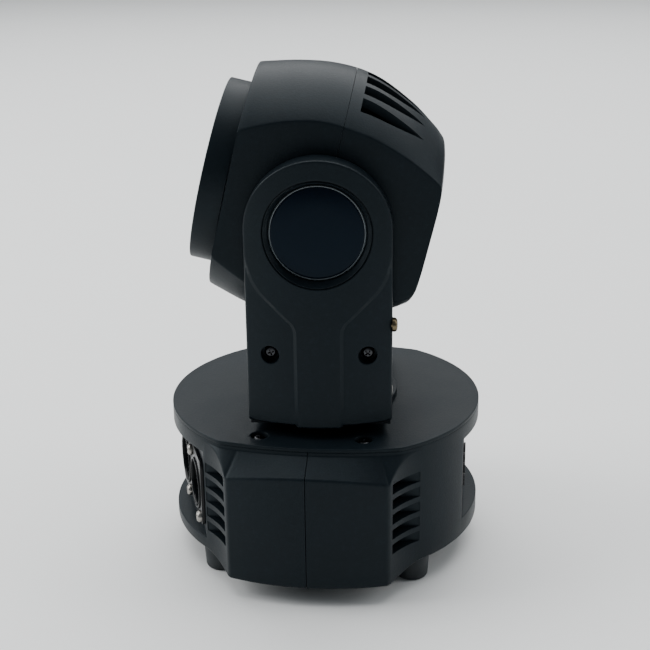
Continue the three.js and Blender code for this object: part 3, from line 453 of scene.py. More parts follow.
def base_profile(a):
    """The wall's section in one direction, as a closed loop of (radius, z)."""
    edge, top, bottom, deck = pod_edge(a), pod_top(a), pod_bottom(a), deck_edge(a)
    flat = facet_edge(a, edge)
    z0 = PANEL_BOTTOM if math.sin(a) < 0 else FACET_BOTTOM
    z1 = min(FACET_TOP, top - 1.8)
    inner = flat - (POD_WALL if from_pod_axis(a) < FAIRING_END else DRUM_WALL)
    corners = [
        ((inner, bottom), 0.2), ((edge, bottom), 0.9), ((edge, z0), 0.5), ((flat, z0), 0.5),
        ((flat, z1), 0.5), ((edge, z1), 0.5), ((edge, top), 0.9), ((deck, RIM_BOTTOM), 0.5),
        ((deck, RIM_TOP), 0.25), ((deck - RIM_W, RIM_TOP), 0.1),
        ((deck - RIM_W, RIM_BOTTOM - 2.4), 0.1), ((inner, min(top, RIM_BOTTOM) - 4.8), 0.1),
    ]
    return rounded([c for c, _ in corners], [r for _, r in corners], 3, closed=True)


def directions(low, high):
    """Directions round the base, closer together where the outline turns."""
    corner = math.degrees(POD_CORNER)
    marks = [0, 90, 180, 270, 360]
    for quarter in (0, 180):
        for c in (corner, -corner):
            marks += [quarter + c + d for d in np.arange(-4, 4.1, 0.35)]
        for c in (FACET_END, -FACET_END):
            marks += [quarter + c + d for d in (-1, -0.4, -0.1, 0.1, 0.4, 1)]
    marks += [90 + d for d in (-0.6, -0.2, 0.2, 0.6)]
    marks += [end + d for end in (270 - PANEL_END, 270 + PANEL_END) for d in (-0.6, 0, 0.6)]
    marks += list(np.arange(0, 360, 1.2))
    inside = sorted({round(m % 360, 3) for m in marks if low + 0.2 < m % 360 < high - 0.2})
    return [rad(m) for m in inside]


def socket_place(side, along):
    """Moves a socket that faces +Y to its place on a facet."""
    tangent = side * along
    x = tangent * math.cos(FACET_TURN) + side * FACET_D * math.sin(FACET_TURN)
    y = FACET_D * math.cos(FACET_TURN) - along * math.sin(FACET_TURN)
    turn = Matrix.Rotation(-side * FACET_TURN, 4, "Z")
    return Matrix.Translation((x * MM, y * MM, SOCKET_Z * MM)) @ turn


SOCKETS = {
    "data_in_socket": (-1, SOCKETS_AT[0], "male"), "data_out_socket": (-1, SOCKETS_AT[1], "female"),
    "power_out_socket": (1, SOCKETS_AT[1], "power"), "power_in_socket": (1, SOCKETS_AT[0], "power"),
}


def louvre_groups(front):
    """The angles of each group's pod side and drum side."""
    for mirror in (-1, 1):
        for turn in (0, math.pi):
            pod_side, drum_side = (turn + mirror * a for a in (LOUVRE_FROM, LOUVRE_TO))
            if (math.sin(pod_side) < 0) == front:
                yield pod_side, drum_side


def louvre_stack(outline, height):
    levels = [LOUVRE_FIRST_Z + k * LOUVRE_PITCH for k in range(LOUVRES)]
    return [prism(outline, z - height / 2, z + height / 2) for z in levels]


def louvre_tools(front):
    tools = []
    outside, inside = 90, 56
    for pod_side, drum_side in louvre_groups(front):
        span = np.linspace(pod_side, drum_side, 7)
        outline = [(outside * math.cos(a), outside * math.sin(a)) for a in span]
        outline += [(inside * math.cos(a), inside * math.sin(a)) for a in reversed(span)]
        tools += louvre_stack(outline, LOUVRE_H)
    return [merge("tool", tools)]


def louvre_ramps(front):
    """At its drum side each slot runs out to the surface in a ramp."""
    ramps = []
    for pod_side, drum_side in louvre_groups(front):
        span = [(pod_side + (drum_side - pod_side) * t, t) for t in np.linspace(RAMP_FROM, RAMP_TO, 8)]
        deep = [RAMP_DEPTH * ((RAMP_TO - t) / (RAMP_TO - RAMP_FROM)) ** RAMP_CURVE for _, t in span]
        face = [(pod_edge(a) - 0.12 - d, a) for (a, _), d in zip(span, deep)]
        back = [(pod_edge(a) - RAMP_DEPTH - 0.6, a) for a, _ in reversed(span)]
        ramps += louvre_stack([(r * math.cos(a), r * math.sin(a)) for r, a in face + back], LOUVRE_H + 0.2)
    return ramps


def base_half(name, front):
    """Half of the base shell: the display side where front is true, else the socket side."""
    start, end = (180, 360) if front else (0, 180)
    y_end = -SEAM / 2 if front else SEAM / 2
    rows = []
    for a in directions(start, end):
        rows.append([(r * math.cos(a), r * math.sin(a), z) for r, z in base_profile(a)])
    first, last = ([(r * math.cos(a), y_end, z) for r, z in base_profile(a)] for a in (rad(start), rad(end)))
    ob = grid(name, [first, *rows, last], caps=True)
    tools = louvre_tools(front)
    if front:
        tools.append(block(-PANEL_HOLE_X, PANEL_HOLE_X, PANEL_Y - 5, PANEL_Y + 5,
                           PANEL_HOLE_LOW, PANEL_HOLE_HIGH))
    else:
        for side, along, _ in SOCKETS.values():
            hole = rod_tool(SOCKET_HOLE_R, -8, 8, 48, "Y")
            hole.data.transform(socket_place(side, along))
            tools.append(hole)
    return merge(name, [carve(ob, tools), *louvre_ramps(front)])


# ---- screws --------------------------------------------------------------------------------------
def cross_screw(name, head_r, height, n=40):
    """A pan head with a cross recess; it faces +Z and its seat is at zero."""
    dome = [(0, -0.8), (head_r * 0.5, -0.8), (head_r * 0.5, 0)]
    dome += rounded([(head_r, 0), (head_r, height * 0.55), (head_r * 0.72, height * 0.92), (0, height)],
                    0.35 * head_r)
    head = lathe(name, dome, n)
    arm, slot, deep = head_r * 0.58, head_r * 0.13, height * 0.42
    tools = []
    for turn in (0, math.pi / 2):
        v = []
        for z, reach, half in ((deep, arm * 0.45, slot * 0.7), (height + 1, arm * 1.25, slot * 1.2)):
            for x, y in ((-reach, -half), (reach, -half), (reach, half), (-reach, half)):
                c, s = math.cos(turn), math.sin(turn)
                v.append((x * c - y * s, x * s + y * c, z))
        walls = [(i, (i + 1) % 4, 4 + (i + 1) % 4, 4 + i) for i in range(4)]
        tools.append(make("tool", v, [(3, 2, 1, 0), (4, 5, 6, 7), *walls]))
    return carve(head, tools, 40)


def facing(x, y, z, direction, twist=0.0):
    """Moves a piece that faces +Z to a point, to face along direction, turned about it by twist."""
    turn = Vector(direction).to_track_quat("Z", "Y").to_matrix().to_4x4()
    return Matrix.Translation((x * MM, y * MM, z * MM)) @ turn @ Matrix.Rotation(twist, 4, "Z")


# ---- base: the other pieces ----------------------------------------------------------------------
def deck():
    rows = []
    low = DISC_TOP - DECK_SKIRT
    for a in [0.0, *directions(0, 360)]:
        edge = deck_edge(a)
        shoulder, inside = edge - 1.2, edge - 6
        spokes = [(r, DISC_TOP) for r in np.linspace(DECK_HOLE_R, shoulder, 16)]
        rim = rounded([(shoulder, DISC_TOP), (edge, DISC_TOP), (edge, low), (inside, low)],
                      [0, 0.55, 0.2, 0], 4)
        under = [(inside, DECK_UNDER), (DECK_HOLE_R, DECK_UNDER)]
        rows.append([(r * math.cos(a), r * math.sin(a), z) for r, z in spokes + rim[1:] + under])
    ob = grid("deck_plate", rows, wrap_rows=True)
    tools = []
    for x, y in deck_screw_places():
        cup = [(0, 65.5), (3.7, 65.5), (3.7, 67.5), (3.85, 67.8), (4.25, 68.02), (4.25, 70), (0, 70)]
        tools.append(lathe("tool", cup, 48, at=(x, y, 0)))
    return carve(ob, tools)


def deck_screw_places():
    for k in range(4):
        x = DECK_SCREW_R * math.cos(DECK_SCREW_TURN) * (-1 if k < 2 else 1)
        y = DECK_SCREW_R * math.sin(DECK_SCREW_TURN) * (-1 if k % 2 else 1)
        yield x, y


def foot(name):
    top = DRUM_BOTTOM - 0.3
    profile = [(0, 4), (2.9, 4), (3.3, 0.5), (3.9, 0)]
    profile += rounded([(3.9, 0), (6.2, 0), (7, 1), (7.7, top), (0, top)], [0, 0.5, 0.8, 0.3, 0], 4)[1:]
    return lathe(name, profile, 64)


def socket_piece(name):
    """A round connector on a flange with rounded corners; it faces +Y, and its screws are apart."""
    half_w, half_h = SOCKET_W / 2, SOCKET_H / 2
    outline = []
    for sx, sz, start in ((1, 1, 0), (-1, 1, 90), (-1, -1, 180), (1, -1, 270)):
        for d in np.linspace(start, start + 90, 8):
            outline.append((sx * (half_w - SOCKET_CORNER) + SOCKET_CORNER * math.cos(rad(d)),
                            sz * (half_h - SOCKET_CORNER) + SOCKET_CORNER * math.sin(rad(d))))
    rows = []
    for inset, y in ((0, 0.3), (0, 1.2), (0.12, 1.4), (0.4, 1.5)):
        rows.append([(x * (1 - inset / half_w), y, z * (1 - inset / half_h)) for x, z in outline])
    flange = grid(name, rows, caps=True)
    tools = [rod_tool(11.4, -5, 5, 64, "Y")]
    for s in (-1, 1):
        tools.append(rod_tool(1.7, -5, 5, 20, "Y", (s * SOCKET_SCREW_X, 0, s * SOCKET_SCREW_Z)))
    flange = carve(flange, tools)
    cup = rounded([(11.5, 0.3), (11.5, 1.5), (11.5, 2.3), (10.7, 2.3), (10.5, 1.4), (10.5, -4.6),
                   (8.2, -4.7), (8.2, -13.9), (0, -13.9), (0, -14), (11.9, -14), (11.9, 0.3)],
                  [0, 0, 0.35, 0.3, 0.3, 0.2, 0.1, 0, 0, 0, 0, 0], 3)
    ring = lathe("ring", cup, 72, "Y")
    return merge(name, [flange, ring])


def socket_insert(name, kind):
    """The dark moulding in the cup, with its contacts."""
    floor = -9.5
    if kind == "power":
        profile = [(8.1, -13), (8.1, -4.2), (7.2, -4), (6.6, -4.2), (6.6, floor), (3, floor), (3, -3.4),
                   (2.5, -3), (0, -3)]
        return lathe(name, profile, 48, "Y", smooth=40)
    contacts = ((-4, 0), (0, 4), (4, 0))
    if kind == "female":
        core = lathe(name, [(0, -13), (8.1, -13), (8.1, -1.6), (7.5, -1), (0, -1)], 48, "Y", smooth=40)
        hole = [(0, floor), (1.25, floor), (1.25, -1.2), (1.6, -0.8), (1.6, 2), (0, 2)]
        holes = [lathe("tool", hole, 20, "Y", at=(x, 0, z)) for x, z in contacts]
        return carve(core, [*holes, block(-1.6, 1.6, -4, 2, -8.6, -6.4)])
    core = lathe(name, [(0, -13), (8.1, -13), (8.1, floor), (0, floor)], 48, "Y")
    pin = rounded([(0, floor), (1.1, floor), (1.1, -2.4), (0.7, -1.6), (0, -1.5)], [0, 0, 0.4, 0.3, 0], 3)
    pins = [lathe("pin", pin, 20, "Y", at=(x, 0, z)) for x, z in contacts]
    return merge(name, [core, *pins])


def build_base():
    finish_piece(base_half("shell_display_side", True), "base", "housing_black", ["base_shell_front"])
    finish_piece(base_half("shell_socket_side", False), "base", "housing_black", ["base_shell_rear"])
    finish_piece(deck(), "base", "housing_black", ["top_plate"])
    for i, (x, y) in enumerate(deck_screw_places()):
        seat = facing(x, y, DECK_SCREW_SEAT, (0, 0, 1), 0.4 + i)
        screw = cross_screw(f"deck_screw_{i + 1}", 2.8, 1.8)
        finish_piece(screw, "base", "black_steel", [f"top_plate_screw_{i + 1}"], seat)
    for i, (sx, sy) in enumerate(((-1, -1), (1, -1), (1, 1), (-1, 1))):
        place = Matrix.Translation((sx * FOOT_AT * MM, sy * FOOT_AT * MM, 0))
        finish_piece(foot(f"rubber_foot_{i + 1}"), "base", "foot_rubber", [f"foot_{i + 1}"], place)
    for node, (side, along, kind) in SOCKETS.items():
        place = socket_place(side, along)
        stem = node.replace("_socket", "")
        finish_piece(socket_piece(f"{stem}_flange"), "base", "socket_metal", [node], place)
        finish_piece(socket_insert(f"{stem}_insert", kind), "base", "gloss_black", (), place)
        for s in (-1, 1):
            seat = place @ facing(s * SOCKET_SCREW_X, 1.5, s * SOCKET_SCREW_Z, (0, 1, 0), 0.5 * s)
            name = f"{stem}_screw_{'high' if s > 0 else 'low'}"
            finish_piece(cross_screw(name, 2.6, 2.1), "base", "bright_steel", (), seat)


# ---- yoke ----------------------------------------------------------------------------------------
def arm_outline(half, bottom, corner=2.2):
    """The arm seen from the side: (y, z) round a half circle on straight flanks."""
    pts = [(half * math.cos(t), TILT_Z + half * math.sin(t)) for t in np.linspace(0, math.pi, 73)]
    low = [(-half, bottom), (half, bottom)]
    line = rounded([pts[-1], *low, pts[0]], corner, 5)
    left = [(-half, z) for z in np.linspace(TILT_Z, bottom + corner, 34)[1:-1]]
    right = [(half, z) for z in np.linspace(bottom + corner, TILT_Z, 34)[1:-1]]
    corner_left, corner_right = line[1:7], line[7:13]
    floor = [(y, bottom) for y in np.linspace(-half + corner, half - corner, 30)[1:-1]]
    return [tuple(p) for p in (*pts, *left, *corner_left, *floor, *corner_right, *right)]


KEYHOLE = rounded([(ARM_W + 3, 152), (ARM_W, 145.2), (26.8, 133.8), (9.6, 117.3), (9.5, 60)],
                  [0, 5, 7, 3, 0], 6)
BEVEL = 0.7


def keyhole_offset(points):
    """Signed distance from the raised panel's border, positive on the panel."""
    p = np.abs(np.asarray(points, float)[:, :1])
    q = np.concatenate([p, np.asarray(points, float)[:, 1:2]], 1)
    line = np.asarray(KEYHOLE)
    best = np.full(len(q), 1e9)
    for a, b in zip(line[:-1], line[1:]):
        d = b - a
        t = np.clip(((q - a) @ d) / max(d @ d, 1e-12), 0, 1)
        best = np.minimum(best, np.linalg.norm(q - (a + t[:, None] * d), axis=1))
    limit = np.interp(q[:, 1], line[::-1, 1], line[::-1, 0])
    return np.where((q[:, 0] < limit) | (q[:, 1] > line[0][1]), best, -best)


def outline_depth(points, half, bottom):
    """Distance inwards from the arm's outline."""
    p = np.asarray(points, float)
    flank = np.minimum(half - np.abs(p[:, 0]), p[:, 1] - bottom)
    crown = half - np.hypot(p[:, 0], p[:, 1] - TILT_Z)
    return np.maximum(np.where(p[:, 1] > TILT_Z, crown, flank), 0)


DISH = [(22.75, 0.0), (22.5, 0.1), (22.42, 0.9), (22.02, 0.9), (21.9, 0.25), (21.7, 0.12)]
DISH_LIP, DISH_FLOOR_R, DISH_X, BADGE_SEAT_X = 21.7, 20.0, 48.9, 48.3
BADGE_R = 19.6


def bowed(middle, y):
    return middle - ARM_FACE_R + np.sqrt(ARM_FACE_R ** 2 - y ** 2)


def arm_front(points):
    """How far out the arm's face is at each (y, z)."""
    p = np.asarray(points, float)
    s = keyhole_offset(p)
    t = np.clip((s + BEVEL) / (2 * BEVEL), 0, 1)
    face = bowed(ARM_SIDE_X + (ARM_X - ARM_SIDE_X) * t, p[:, 0])
    lip = np.clip(ARM_BOTTOM + 1.5 - p[:, 1], 0, None) * np.clip(-s / BEVEL, 0, 1)
    face = face - 1.3 * lip
    d = np.clip(outline_depth(p, ARM_W, ARM_BOTTOM), 0, ARM_EDGE)
    face -= ARM_EDGE - np.sqrt(np.maximum(ARM_EDGE ** 2 - (ARM_EDGE - d) ** 2, 0))
    rho = np.hypot(p[:, 0], p[:, 1] - TILT_Z)
    rings = sorted(DISH)
    drop = np.interp(rho, [r for r, _ in rings], [h for _, h in rings])
    face = np.where(rho < DISH[0][0] + 0.01, face - drop, face)
    lip_face = bowed(ARM_X, np.clip(p[:, 0], -DISH_LIP, DISH_LIP)) - DISH[-1][1]
    u = np.clip((rho - DISH_FLOOR_R) / (DISH_LIP - DISH_FLOOR_R), 0, 1)
    face = np.where(rho < DISH_LIP, DISH_X + (lip_face - DISH_X) * u ** 1.3, face)
    face = np.where(rho < DISH_FLOOR_R - 0.05, BADGE_SEAT_X, face)
    for y in (-ARM_SCREW_Y, ARM_SCREW_Y):
        r = np.hypot(p[:, 0] - y, p[:, 1] - ARM_SCREW_Z)
        face = np.where(r < 3.96, face - 0.1, face)
        face = np.where(r < 3.88, ARM_SCREW_FLOOR, face)
    return face


def ring_points(r, y, z, n):
    turn = np.linspace(0, 2 * math.pi, n, endpoint=False)
    return [(y + r * math.cos(t), z + r * math.sin(t)) for t in turn]


def keyhole_lines():
    """Lines beside the raised panel's border, for the mesh to follow its bevel."""
    line = np.asarray(KEYHOLE)
    tangent = np.gradient(line, axis=0)
    tangent /= np.linalg.norm(tangent, axis=1)[:, None]
    normal = np.stack([tangent[:, 1], -tangent[:, 0]], 1)
    for off in (-BEVEL - 0.3, -BEVEL, BEVEL, BEVEL + 0.3):
        for side in (-1, 1):
            path = line - normal * off
            pairs = zip(path[:-1], path[1:])
            dense = np.concatenate([np.linspace(a, b, 8, endpoint=False) for a, b in pairs] + [path[-1:]])
            dense = dense[(dense[:, 0] < ARM_W - 1.0) & (dense[:, 1] > ARM_BOTTOM + 1.0)]
            yield dense * (side, 1)


def arm_sheet(loops):
    """The arm's face as flat points (y, z) and faces, along its outline, dish and screw holes."""
    points, edges = [], []
    for loop in loops:
        first = len(points)
        points += list(loop)
        edges += [(first + i, first + (i + 1) % len(loop)) for i in range(len(loop))]
    for path in keyhole_lines():
        first = len(points)
        points += [tuple(p) for p in path]
        edges += [(first + i, first + i + 1) for i in range(len(path) - 1)]
    fixed = np.asarray(points)
    for z in np.arange(ARM_BOTTOM + 2.2, TILT_Z + ARM_W, 1.9):
        for y in np.arange(-28.8, 28.9, 1.6):
            near = np.min(np.hypot(fixed[:, 0] - y, fixed[:, 1] - z))
            rho = math.hypot(y, z - TILT_Z)
            if near > 0.8 and (z < TILT_Z or rho < ARM_W - 1.6) and not 19.8 < rho < 23:
                points.append((y, z))
    out, _, faces, _, _, _ = delaunay_2d_cdt([Vector(p) for p in points], edges, [], 1, 1e-5)
    return np.asarray([tuple(v) for v in out]), [tuple(f) for f in faces]


def arm_piece(name):
    """A thin-walled arm cover; its face is one height field over (y, z), for the +X side."""
    loops = [arm_outline(ARM_W - inset, ARM_BOTTOM + inset) for inset in (0, 0.1, 0.28, 0.55, 0.9, 1.5)]
    for r in (22.9, *[r for r, _ in DISH], 20.9, DISH_FLOOR_R, 19.92, 17):
        loops.append(ring_points(r, 0, TILT_Z, 120))
    for y in (-ARM_SCREW_Y, ARM_SCREW_Y):
        for r in (4.5, 4.15, 3.95, 3.87, 3.0):
            loops.append(ring_points(r, y, ARM_SCREW_Z, 40))
    flat, faces = arm_sheet(loops)
    front = arm_front(flat)
    verts = [(x, y, z) for x, (y, z) in zip(front, flat)]
    skirt, count = np.asarray(loops[0]), len(loops[0])
    rim = [int(np.argmin(np.hypot(flat[:, 0] - y, flat[:, 1] - z))) for y, z in skirt]
    inner = np.asarray(arm_outline(ARM_W - ARM_LIP, ARM_BOTTOM + ARM_LIP))
    verts += [(front[i] - 0.3, y, z) for i, (y, z) in zip(rim, skirt)]
    back = ((ARM_BACK_X + 0.3, skirt), (ARM_BACK_X, skirt), (ARM_BACK_X, inner), (ARM_INSIDE_X, inner))
    for x, ring in back:
        verts += [(x, y, z) for y, z in ring]
    rows = [rim] + [[len(flat) + k * count + i for i in range(count)] for k in range(5)]
    for a, b in zip(rows[:-1], rows[1:]):
        faces += [(a[i], a[(i + 1) % count], b[(i + 1) % count], b[i]) for i in range(count)]
    return make(name, verts, [*faces, tuple(rows[-1])], 28)


def badge(name):
    """A clear domed resin badge over black, for the +X side; no lettering."""
    x = BADGE_SEAT_X
    seat = (BADGE_R, x + 0.02)
    dome = [seat, (BADGE_R, x + 0.7), (BADGE_R - 0.9, x + 1.2), (12, x + 1.8), (0, x + 2.05)]
    profile = [(0, x + 0.02), seat] + rounded(dome, [0, 0.35, 0.8, 5, 0], 6)[1:]
    return lathe(name, profile, 128, "X", at=(0, 0, TILT_Z), smooth=50)


def badge_highlight_ring(name):
    """A ring in a lighter colour, a painted highlight for the light that the resin dome's edge catches where
    it turns down to its seat.
    """
    r, x = BADGE_R, BADGE_SEAT_X
    profile = [(r - 0.5, x + 0.6), (r + 0.06, x + 0.6), (r + 0.06, x + 1.0), (r - 0.25, x + 1.22),
               (r - 0.5, x + 1.1)]
    return lathe(name, [*profile, profile[0]], 128, "X", at=(0, 0, TILT_Z), smooth=60)


def turntable(name):
    low, high = DISC_TOP + 0.3, 70.9
    profile = [(0, 51.6), (14, 51.6), (14, low), (TURNTABLE_R, low), (TURNTABLE_R, high), (0, high)]
    return lathe(name, rounded(profile, [0, 0.2, 0.2, 0.2, 0.5, 0], 3), 96)


def build_yoke():
    for side, turn in (("left", HALF_TURN), ("right", BASE)):
        xf = YOKE @ turn
        finish_piece(arm_piece(f"arm_shell_{side}"), "yoke", "housing_black", [f"arm_cover_{side}"], xf)
        finish_piece(badge(f"badge_dome_{side}"), "yoke", "badge_gloss", [f"arm_badge_{side}"], xf)
        # the ring round the badge carries a painted highlight in place of light caught by the dome's edge
        finish_piece(badge_highlight_ring(f"badge_highlight_ring_{side}"), "yoke", "badge_gloss", (), xf, BADGE_HIGHLIGHT_PAINT)
        for i, y in enumerate((-ARM_SCREW_Y, ARM_SCREW_Y)):
            seat = xf @ facing(ARM_SCREW_FLOOR, y, ARM_SCREW_Z, (1, 0, 0), 0.3 + 0.5 * i)
            node = f"arm_screw_{side}_{i + 1 if side == 'right' else 2 - i}"
            screw = cross_screw(f"arm_cross_screw_{side}_{i + 1}", 2.75, 2.1)
            finish_piece(screw, "yoke", "black_steel", [node], seat)
    finish_piece(turntable("turntable"), "yoke", "housing_black", ["pan_hub"], YOKE)
    screws = (("frame_screw", "side_screw_lower", SIDE_SCREW_LOW, 3.3, "bright_steel"),
              ("cover_screw", "side_screw_upper", SIDE_SCREW_HIGH, 3.0, "screw_brass"))
    for name, node, at, r, slot in screws:
        seat = YOKE @ facing(*at, (0, -1, 0), 0.6)
        finish_piece(cross_screw(name, r, 2.2), "yoke", slot, [node], seat)


# ---- head ----------------------------------------------------------------------------------------
def head_curve():
    """Rows (y, half height, half width) of the head's sections from front to back."""
    knots = np.asarray(HEAD_PROFILE, float)
    fine = np.linspace(0, len(knots) - 1, 73)
    ys = catmull(knots[:, 0], fine)
    hs = catmull(knots[:, 1], fine)
    rows = []
    for y, h in zip(ys, hs):
        u = min(max(-y / CHEEK_BLEND, 0), 1)
        w = h if y > 0 else h + (HEAD_SIDE - h) * u * u * (3 - 2 * u)
        rows.append((y, h, w))
    return rows


def catmull(values, at):
    """A smooth curve through evenly spaced values."""
    out = []
    v = np.concatenate([[2 * values[0] - values[1]], values, [2 * values[-1] - values[-2]]])
    for q in at:
        i = min(int(q), len(values) - 2)
        u = q - i
        a, b, c, d = v[i], v[i + 1], v[i + 2], v[i + 3]
        square, cube = 2 * a - 5 * b + 4 * c - d, 3 * b - a - 3 * c + d
        out.append(0.5 * (2 * b + (c - a) * u + square * u * u + cube * u ** 3))
    return np.asarray(out)


def section(y, h, w, edge=0.7, inset=0.0):
    """One section of the head: elliptical top and bottom cut by flat cheeks, with rounded edges."""
    cheek = HEAD_X - inset
    h, w = h - inset, max(w - inset, cheek + 0.4)
    turn = math.acos(cheek / w)
    top = [(w * math.cos(t), h * math.sin(t)) for t in np.linspace(turn, math.pi - turn, 85)]
    side = h * math.sin(turn)
    step_in = [(cheek, z) for z in np.linspace(-side, side, 21)]
    quarter = bend(step_in[-2], step_in[-1], top[1], edge, 4)
    right = step_in[1:-1]
    ring = [*right, *quarter, *top[1:-1]]
    mirror = [(-x, z) for x, z in reversed(quarter)]
    ring += [*mirror, *[(-x, z) for x, z in reversed(right)]]
    low_left = [(-x, -z) for x, z in quarter]
    ring += [*low_left, *[(-x, -z) for x, z in top[1:-1]], *[(x, -z) for x, z in reversed(quarter)]]
    return [(x, y, HEAD_Z + z) for x, z in ring]


def head_shell():
    """The closed outer form, front face to flat back."""
    rows = head_curve()
    y0, h0, w0 = rows[0]
    front = [(y0, h0 - 0.9, w0 - 0.9), (y0, h0 - 0.45, w0 - 0.45), (y0 - 0.15, h0 - 0.12, w0 - 0.12)]
    y1, h1, w1 = rows[-1]
    back = [(y1 - 0.7, h1 - 1.0, w1), (y1 - 1.2, h1 - 2.6, w1 - 0.2), (HEAD_REAR + 0.45, h1 - 5, w1 - 0.8),
            (HEAD_REAR + 0.2, h1 - 9, w1 - 2), (HEAD_REAR, h1 - 16, w1 - 5)]
    rows = [r for r in rows[1:] if r[0] < y0 - 0.5]
    return front + rows + back


def solid_head(name, inset=0.0):
    """The head's form, or the hollow inside it where inset is the wall."""
    rings = []
    for y, h, w in head_shell():
        if inset and (y > HEAD_PROFILE[0][0] - 2.6 or y < HEAD_REAR + 2.6):
            continue
        rings.append(section(y, h, w, 0.7 if not inset else 0.2, inset))
    return grid(name, rings, caps=True)


def vent_outlines():
    """The blade-shaped vents in the rear case, seen from above and below."""
    front, tip = -5.6, -33.5
    blades = [(-3.6, 3.6, 0)]
    for s in (-1, 1):
        for outer, inner, tip_x in ((14.6, 7.2, 5), (23.6, 17.6, 15.6), (33.2, 26.2, 26.8)):
            blades.append((s * outer, s * inner, s * tip_x))
    for outer, inner, tip_x in blades:
        line = [(outer, front), (inner, front), (tip_x, tip)]
        for t in np.linspace(0.08, 1, 12):
            x = (1 - t) ** 2 * tip_x + 2 * t * (1 - t) * outer + t * t * outer
            y = (1 - t) ** 2 * tip + 2 * t * (1 - t) * tip * 0.72 + t * t * front
            line.append((x, y))
        yield line[:-1]


def back_slots():
    """The cooling slots in the flat back."""
    for k in range(-3, 4):
        up = BACK_SLOT_PITCH * k
        half = math.sqrt(BACK_SLOTS_R ** 2 - up ** 2)
        low, high = HEAD_Z + up - BACK_SLOT_HALF_H, HEAD_Z + up + BACK_SLOT_HALF_H
        line = [(-half, low), (half, low), (half, high), (-half, high)]
        slot = prism(rounded(line, 1.6, 4, True), 40, 60)
        slot.data.transform(Matrix(((1, 0, 0, 0), (0, 0, -1, 0), (0, 1, 0, 0), (0, 0, 0, 1))))
        yield slot


def head_cases():
    """The hollow head, cut into its front and rear cases."""
    outer = solid_head("head_form")
    inner = solid_head("tool", HEAD_WALL)
    mouth = rod_tool(MOUTH_R, 30, 60, 96, "Y", (0, 0, HEAD_Z))
    axle = rod_tool(AXLE_R, -60, 60, 32, "X")
    front = carve(outer, [inner, mouth, axle])
    rear = front.copy()
    rear.data = front.data.copy()
    scene.collection.objects.link(rear)
    front.name, rear.name = "head_front_case", "head_rear_case"
    carve(front, [block(-90, 90, -90, HEAD_SPLIT + HEAD_SEAM, -90, 90)])
    vents = [prism(line, 25, 90) for line in vent_outlines()]
    carve(rear, [block(-90, 90, HEAD_SPLIT, 90, -90, 90), *vents, *back_slots()])
    return front, rear


def front_ring(name):
    """The ring round the lenses; its first corner only steers the bends on either side of it."""
    corners = [(36.6, 44), (RING_R, 40.5), (RING_R, RING_FRONT), (38.4, RING_FRONT), (37.2, 50),
               (36.7, 46.2), (34.4, 46.1), (34.4, 40.5)]
    steps = 4
    ring = rounded(corners, [0.1, 0.3, 0.7, 0.5, 0.8, 0.2, 0.2, 0.1], steps, True)[steps + 1:]
    turn = np.linspace(0, 2 * math.pi, 144, endpoint=False)
    rows = [[(r * math.cos(t), y, HEAD_Z + r * math.sin(t)) for r, y in ring] for t in turn]
    return grid(name, rows, wrap_rows=True)


def lens_places():
    turn = np.arange(6) * math.pi / 3 + math.pi / 6
    return [(0, 0)] + [(LENS_CIRCLE * math.cos(a), LENS_CIRCLE * math.sin(a)) for a in turn]


def lens_bezel(name):
    plate = rounded([(0, 44.3), (36.3, 44.3), (36.3, 46), (0, 46)], [0, 0.1, 0.3, 0], 3)
    hole = LENS_R + 0.25
    cup = [(0, 40), (hole, 40), (hole, 45.6), (hole + 0.55, 46.1), (hole + 0.55, 50), (0, 50)]
    mask = lathe(name, plate, 96, "Y", at=(0, 0, HEAD_Z))
    return carve(mask, [lathe("tool", cup, 48, "Y", at=(x, 0, HEAD_Z + z)) for x, z in lens_places()])


def lens_cluster(name):
    """Seven domed lenses, each with its cone down to the LED."""
    dome = rounded([(LENS_R, 41.8), (LENS_R, 45.7), (7.2, 47.9), (0, 48.6)], [0, 0.6, 3, 0], 6)
    cone = [(0, 30.5), (3.9, 30.5), (9.3, 41.7), (0, 41.7)]
    parts = []
    for x, z in lens_places():
        at = (x, 0, HEAD_Z + z)
        parts.append(lathe("dome", [(0, 41.8), *dome], 48, "Y", at=at, smooth=50))
        parts.append(lathe("cone", cone, 40, "Y", at=at))
    return merge(name, parts, 50)


def build_head():
    front, rear = head_cases()
    finish_piece(front, "head", "housing_black", ["head_front_shell"], HEAD)
    finish_piece(rear, "head", "housing_black", ["head_rear_shell"], HEAD)
    finish_piece(front_ring("front_ring"), "head", "housing_black", ["lens_ring"], HEAD)
    finish_piece(lens_bezel("lens_bezel"), "head", "gloss_black", ["lens_mask"], HEAD)
    finish_piece(lens_cluster("lens_cluster"), "head", "clear_lens", ["lens_array"], HEAD)


# ---- CAD nodes that stay -------------------------------------------------------------------------
def dress_cad_nodes():
    slots = {s["node"]: s["material_slot"] for s in frame["record"]["subparts"]}
    for node, ob in frame["nodes"].items():
        ob.data.materials.clear()
        ob.data.materials.append(MATS[slots[node]])
        shade(ob, 32)


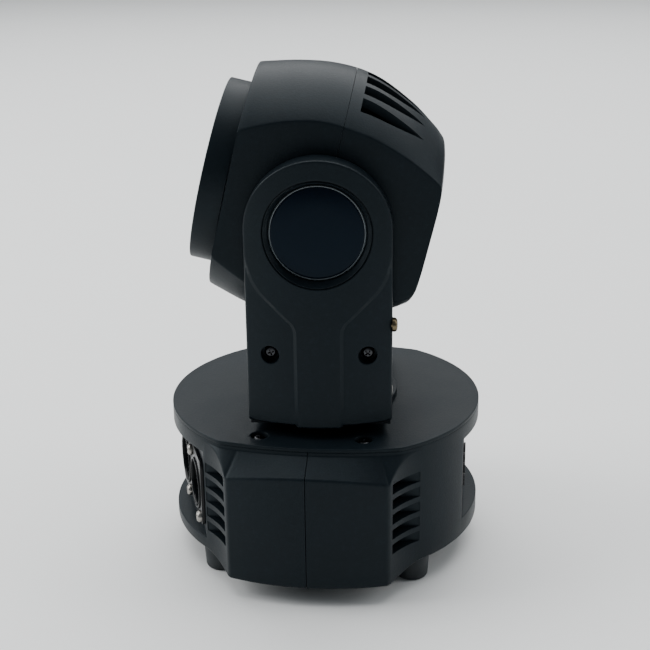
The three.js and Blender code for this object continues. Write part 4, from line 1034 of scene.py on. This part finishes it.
# ---- stage, light and camera ---------------------------------------------------------------------
def build_stage():
    size = 9
    mesh = bpy.data.meshes.new("floor")
    corners = [(-size, -size, 0), (size, -size, 0), (size, size, 0), (-size, size, 0)]
    mesh.from_pydata(corners, [], [(0, 1, 2, 3)])
    floor = bpy.data.objects.new("floor", mesh)
    scene.collection.objects.link(floor)
    m = Nodes("pale_floor", (0.8, 0.81, 0.805), 0.6)
    m.blend(m.noise(3, 2), (0.79, 0.8, 0.795), (0.81, 0.82, 0.815))
    floor.data.materials.append(m.mat)


def area(name, position, aim, size, power):
    light = bpy.data.lights.new(name, "AREA")
    light.shape, light.energy = "RECTANGLE", power
    light.size, light.size_y = size
    ob = bpy.data.objects.new(name, light)
    ob.location = position
    ob.rotation_mode = "QUATERNION"
    ob.rotation_quaternion = (Vector(aim) - Vector(position)).to_track_quat("-Z", "Y")
    scene.collection.objects.link(ob)


def build_lights():
    world = bpy.data.worlds.new("studio")
    world.use_nodes = True
    world.node_tree.nodes["Background"].inputs["Color"].default_value = (0.86, 0.94, 1.0, 1)
    world.node_tree.nodes["Background"].inputs["Strength"].default_value = 0.26
    scene.world = world
    area("ceiling_behind", (1.15, 0.1, 2.2), (0.1, 0, 0), (3.4, 3.4), 124)
    area("left", (-0.1, 1.5, 1.0), (0, 0, 0.12), (1.0, 1.2), 24)
    area("right", (0.2, -1.6, 0.9), (0, 0, 0.1), (0.8, 1.0), 10)


def build_camera():
    data = bpy.data.cameras.new("camera")
    data.sensor_width, data.lens = 36, CAMERA_LENS
    data.clip_start, data.clip_end = 0.01, 50
    cam = bpy.data.objects.new("camera", data)
    cam.location = CAMERA_AT
    aim = Vector(CAMERA_LOOK).to_track_quat("-Z", "Y")
    cam.rotation_mode = "QUATERNION"
    cam.rotation_quaternion = aim @ Quaternion((0, 0, 1), rad(CAMERA_ROLL))
    scene.collection.objects.link(cam)
    scene.camera = cam


build_camera()
build_stage()
build_lights()
dress_cad_nodes()
build_base()
build_yoke()
build_head()
bpy.context.view_layer.update()
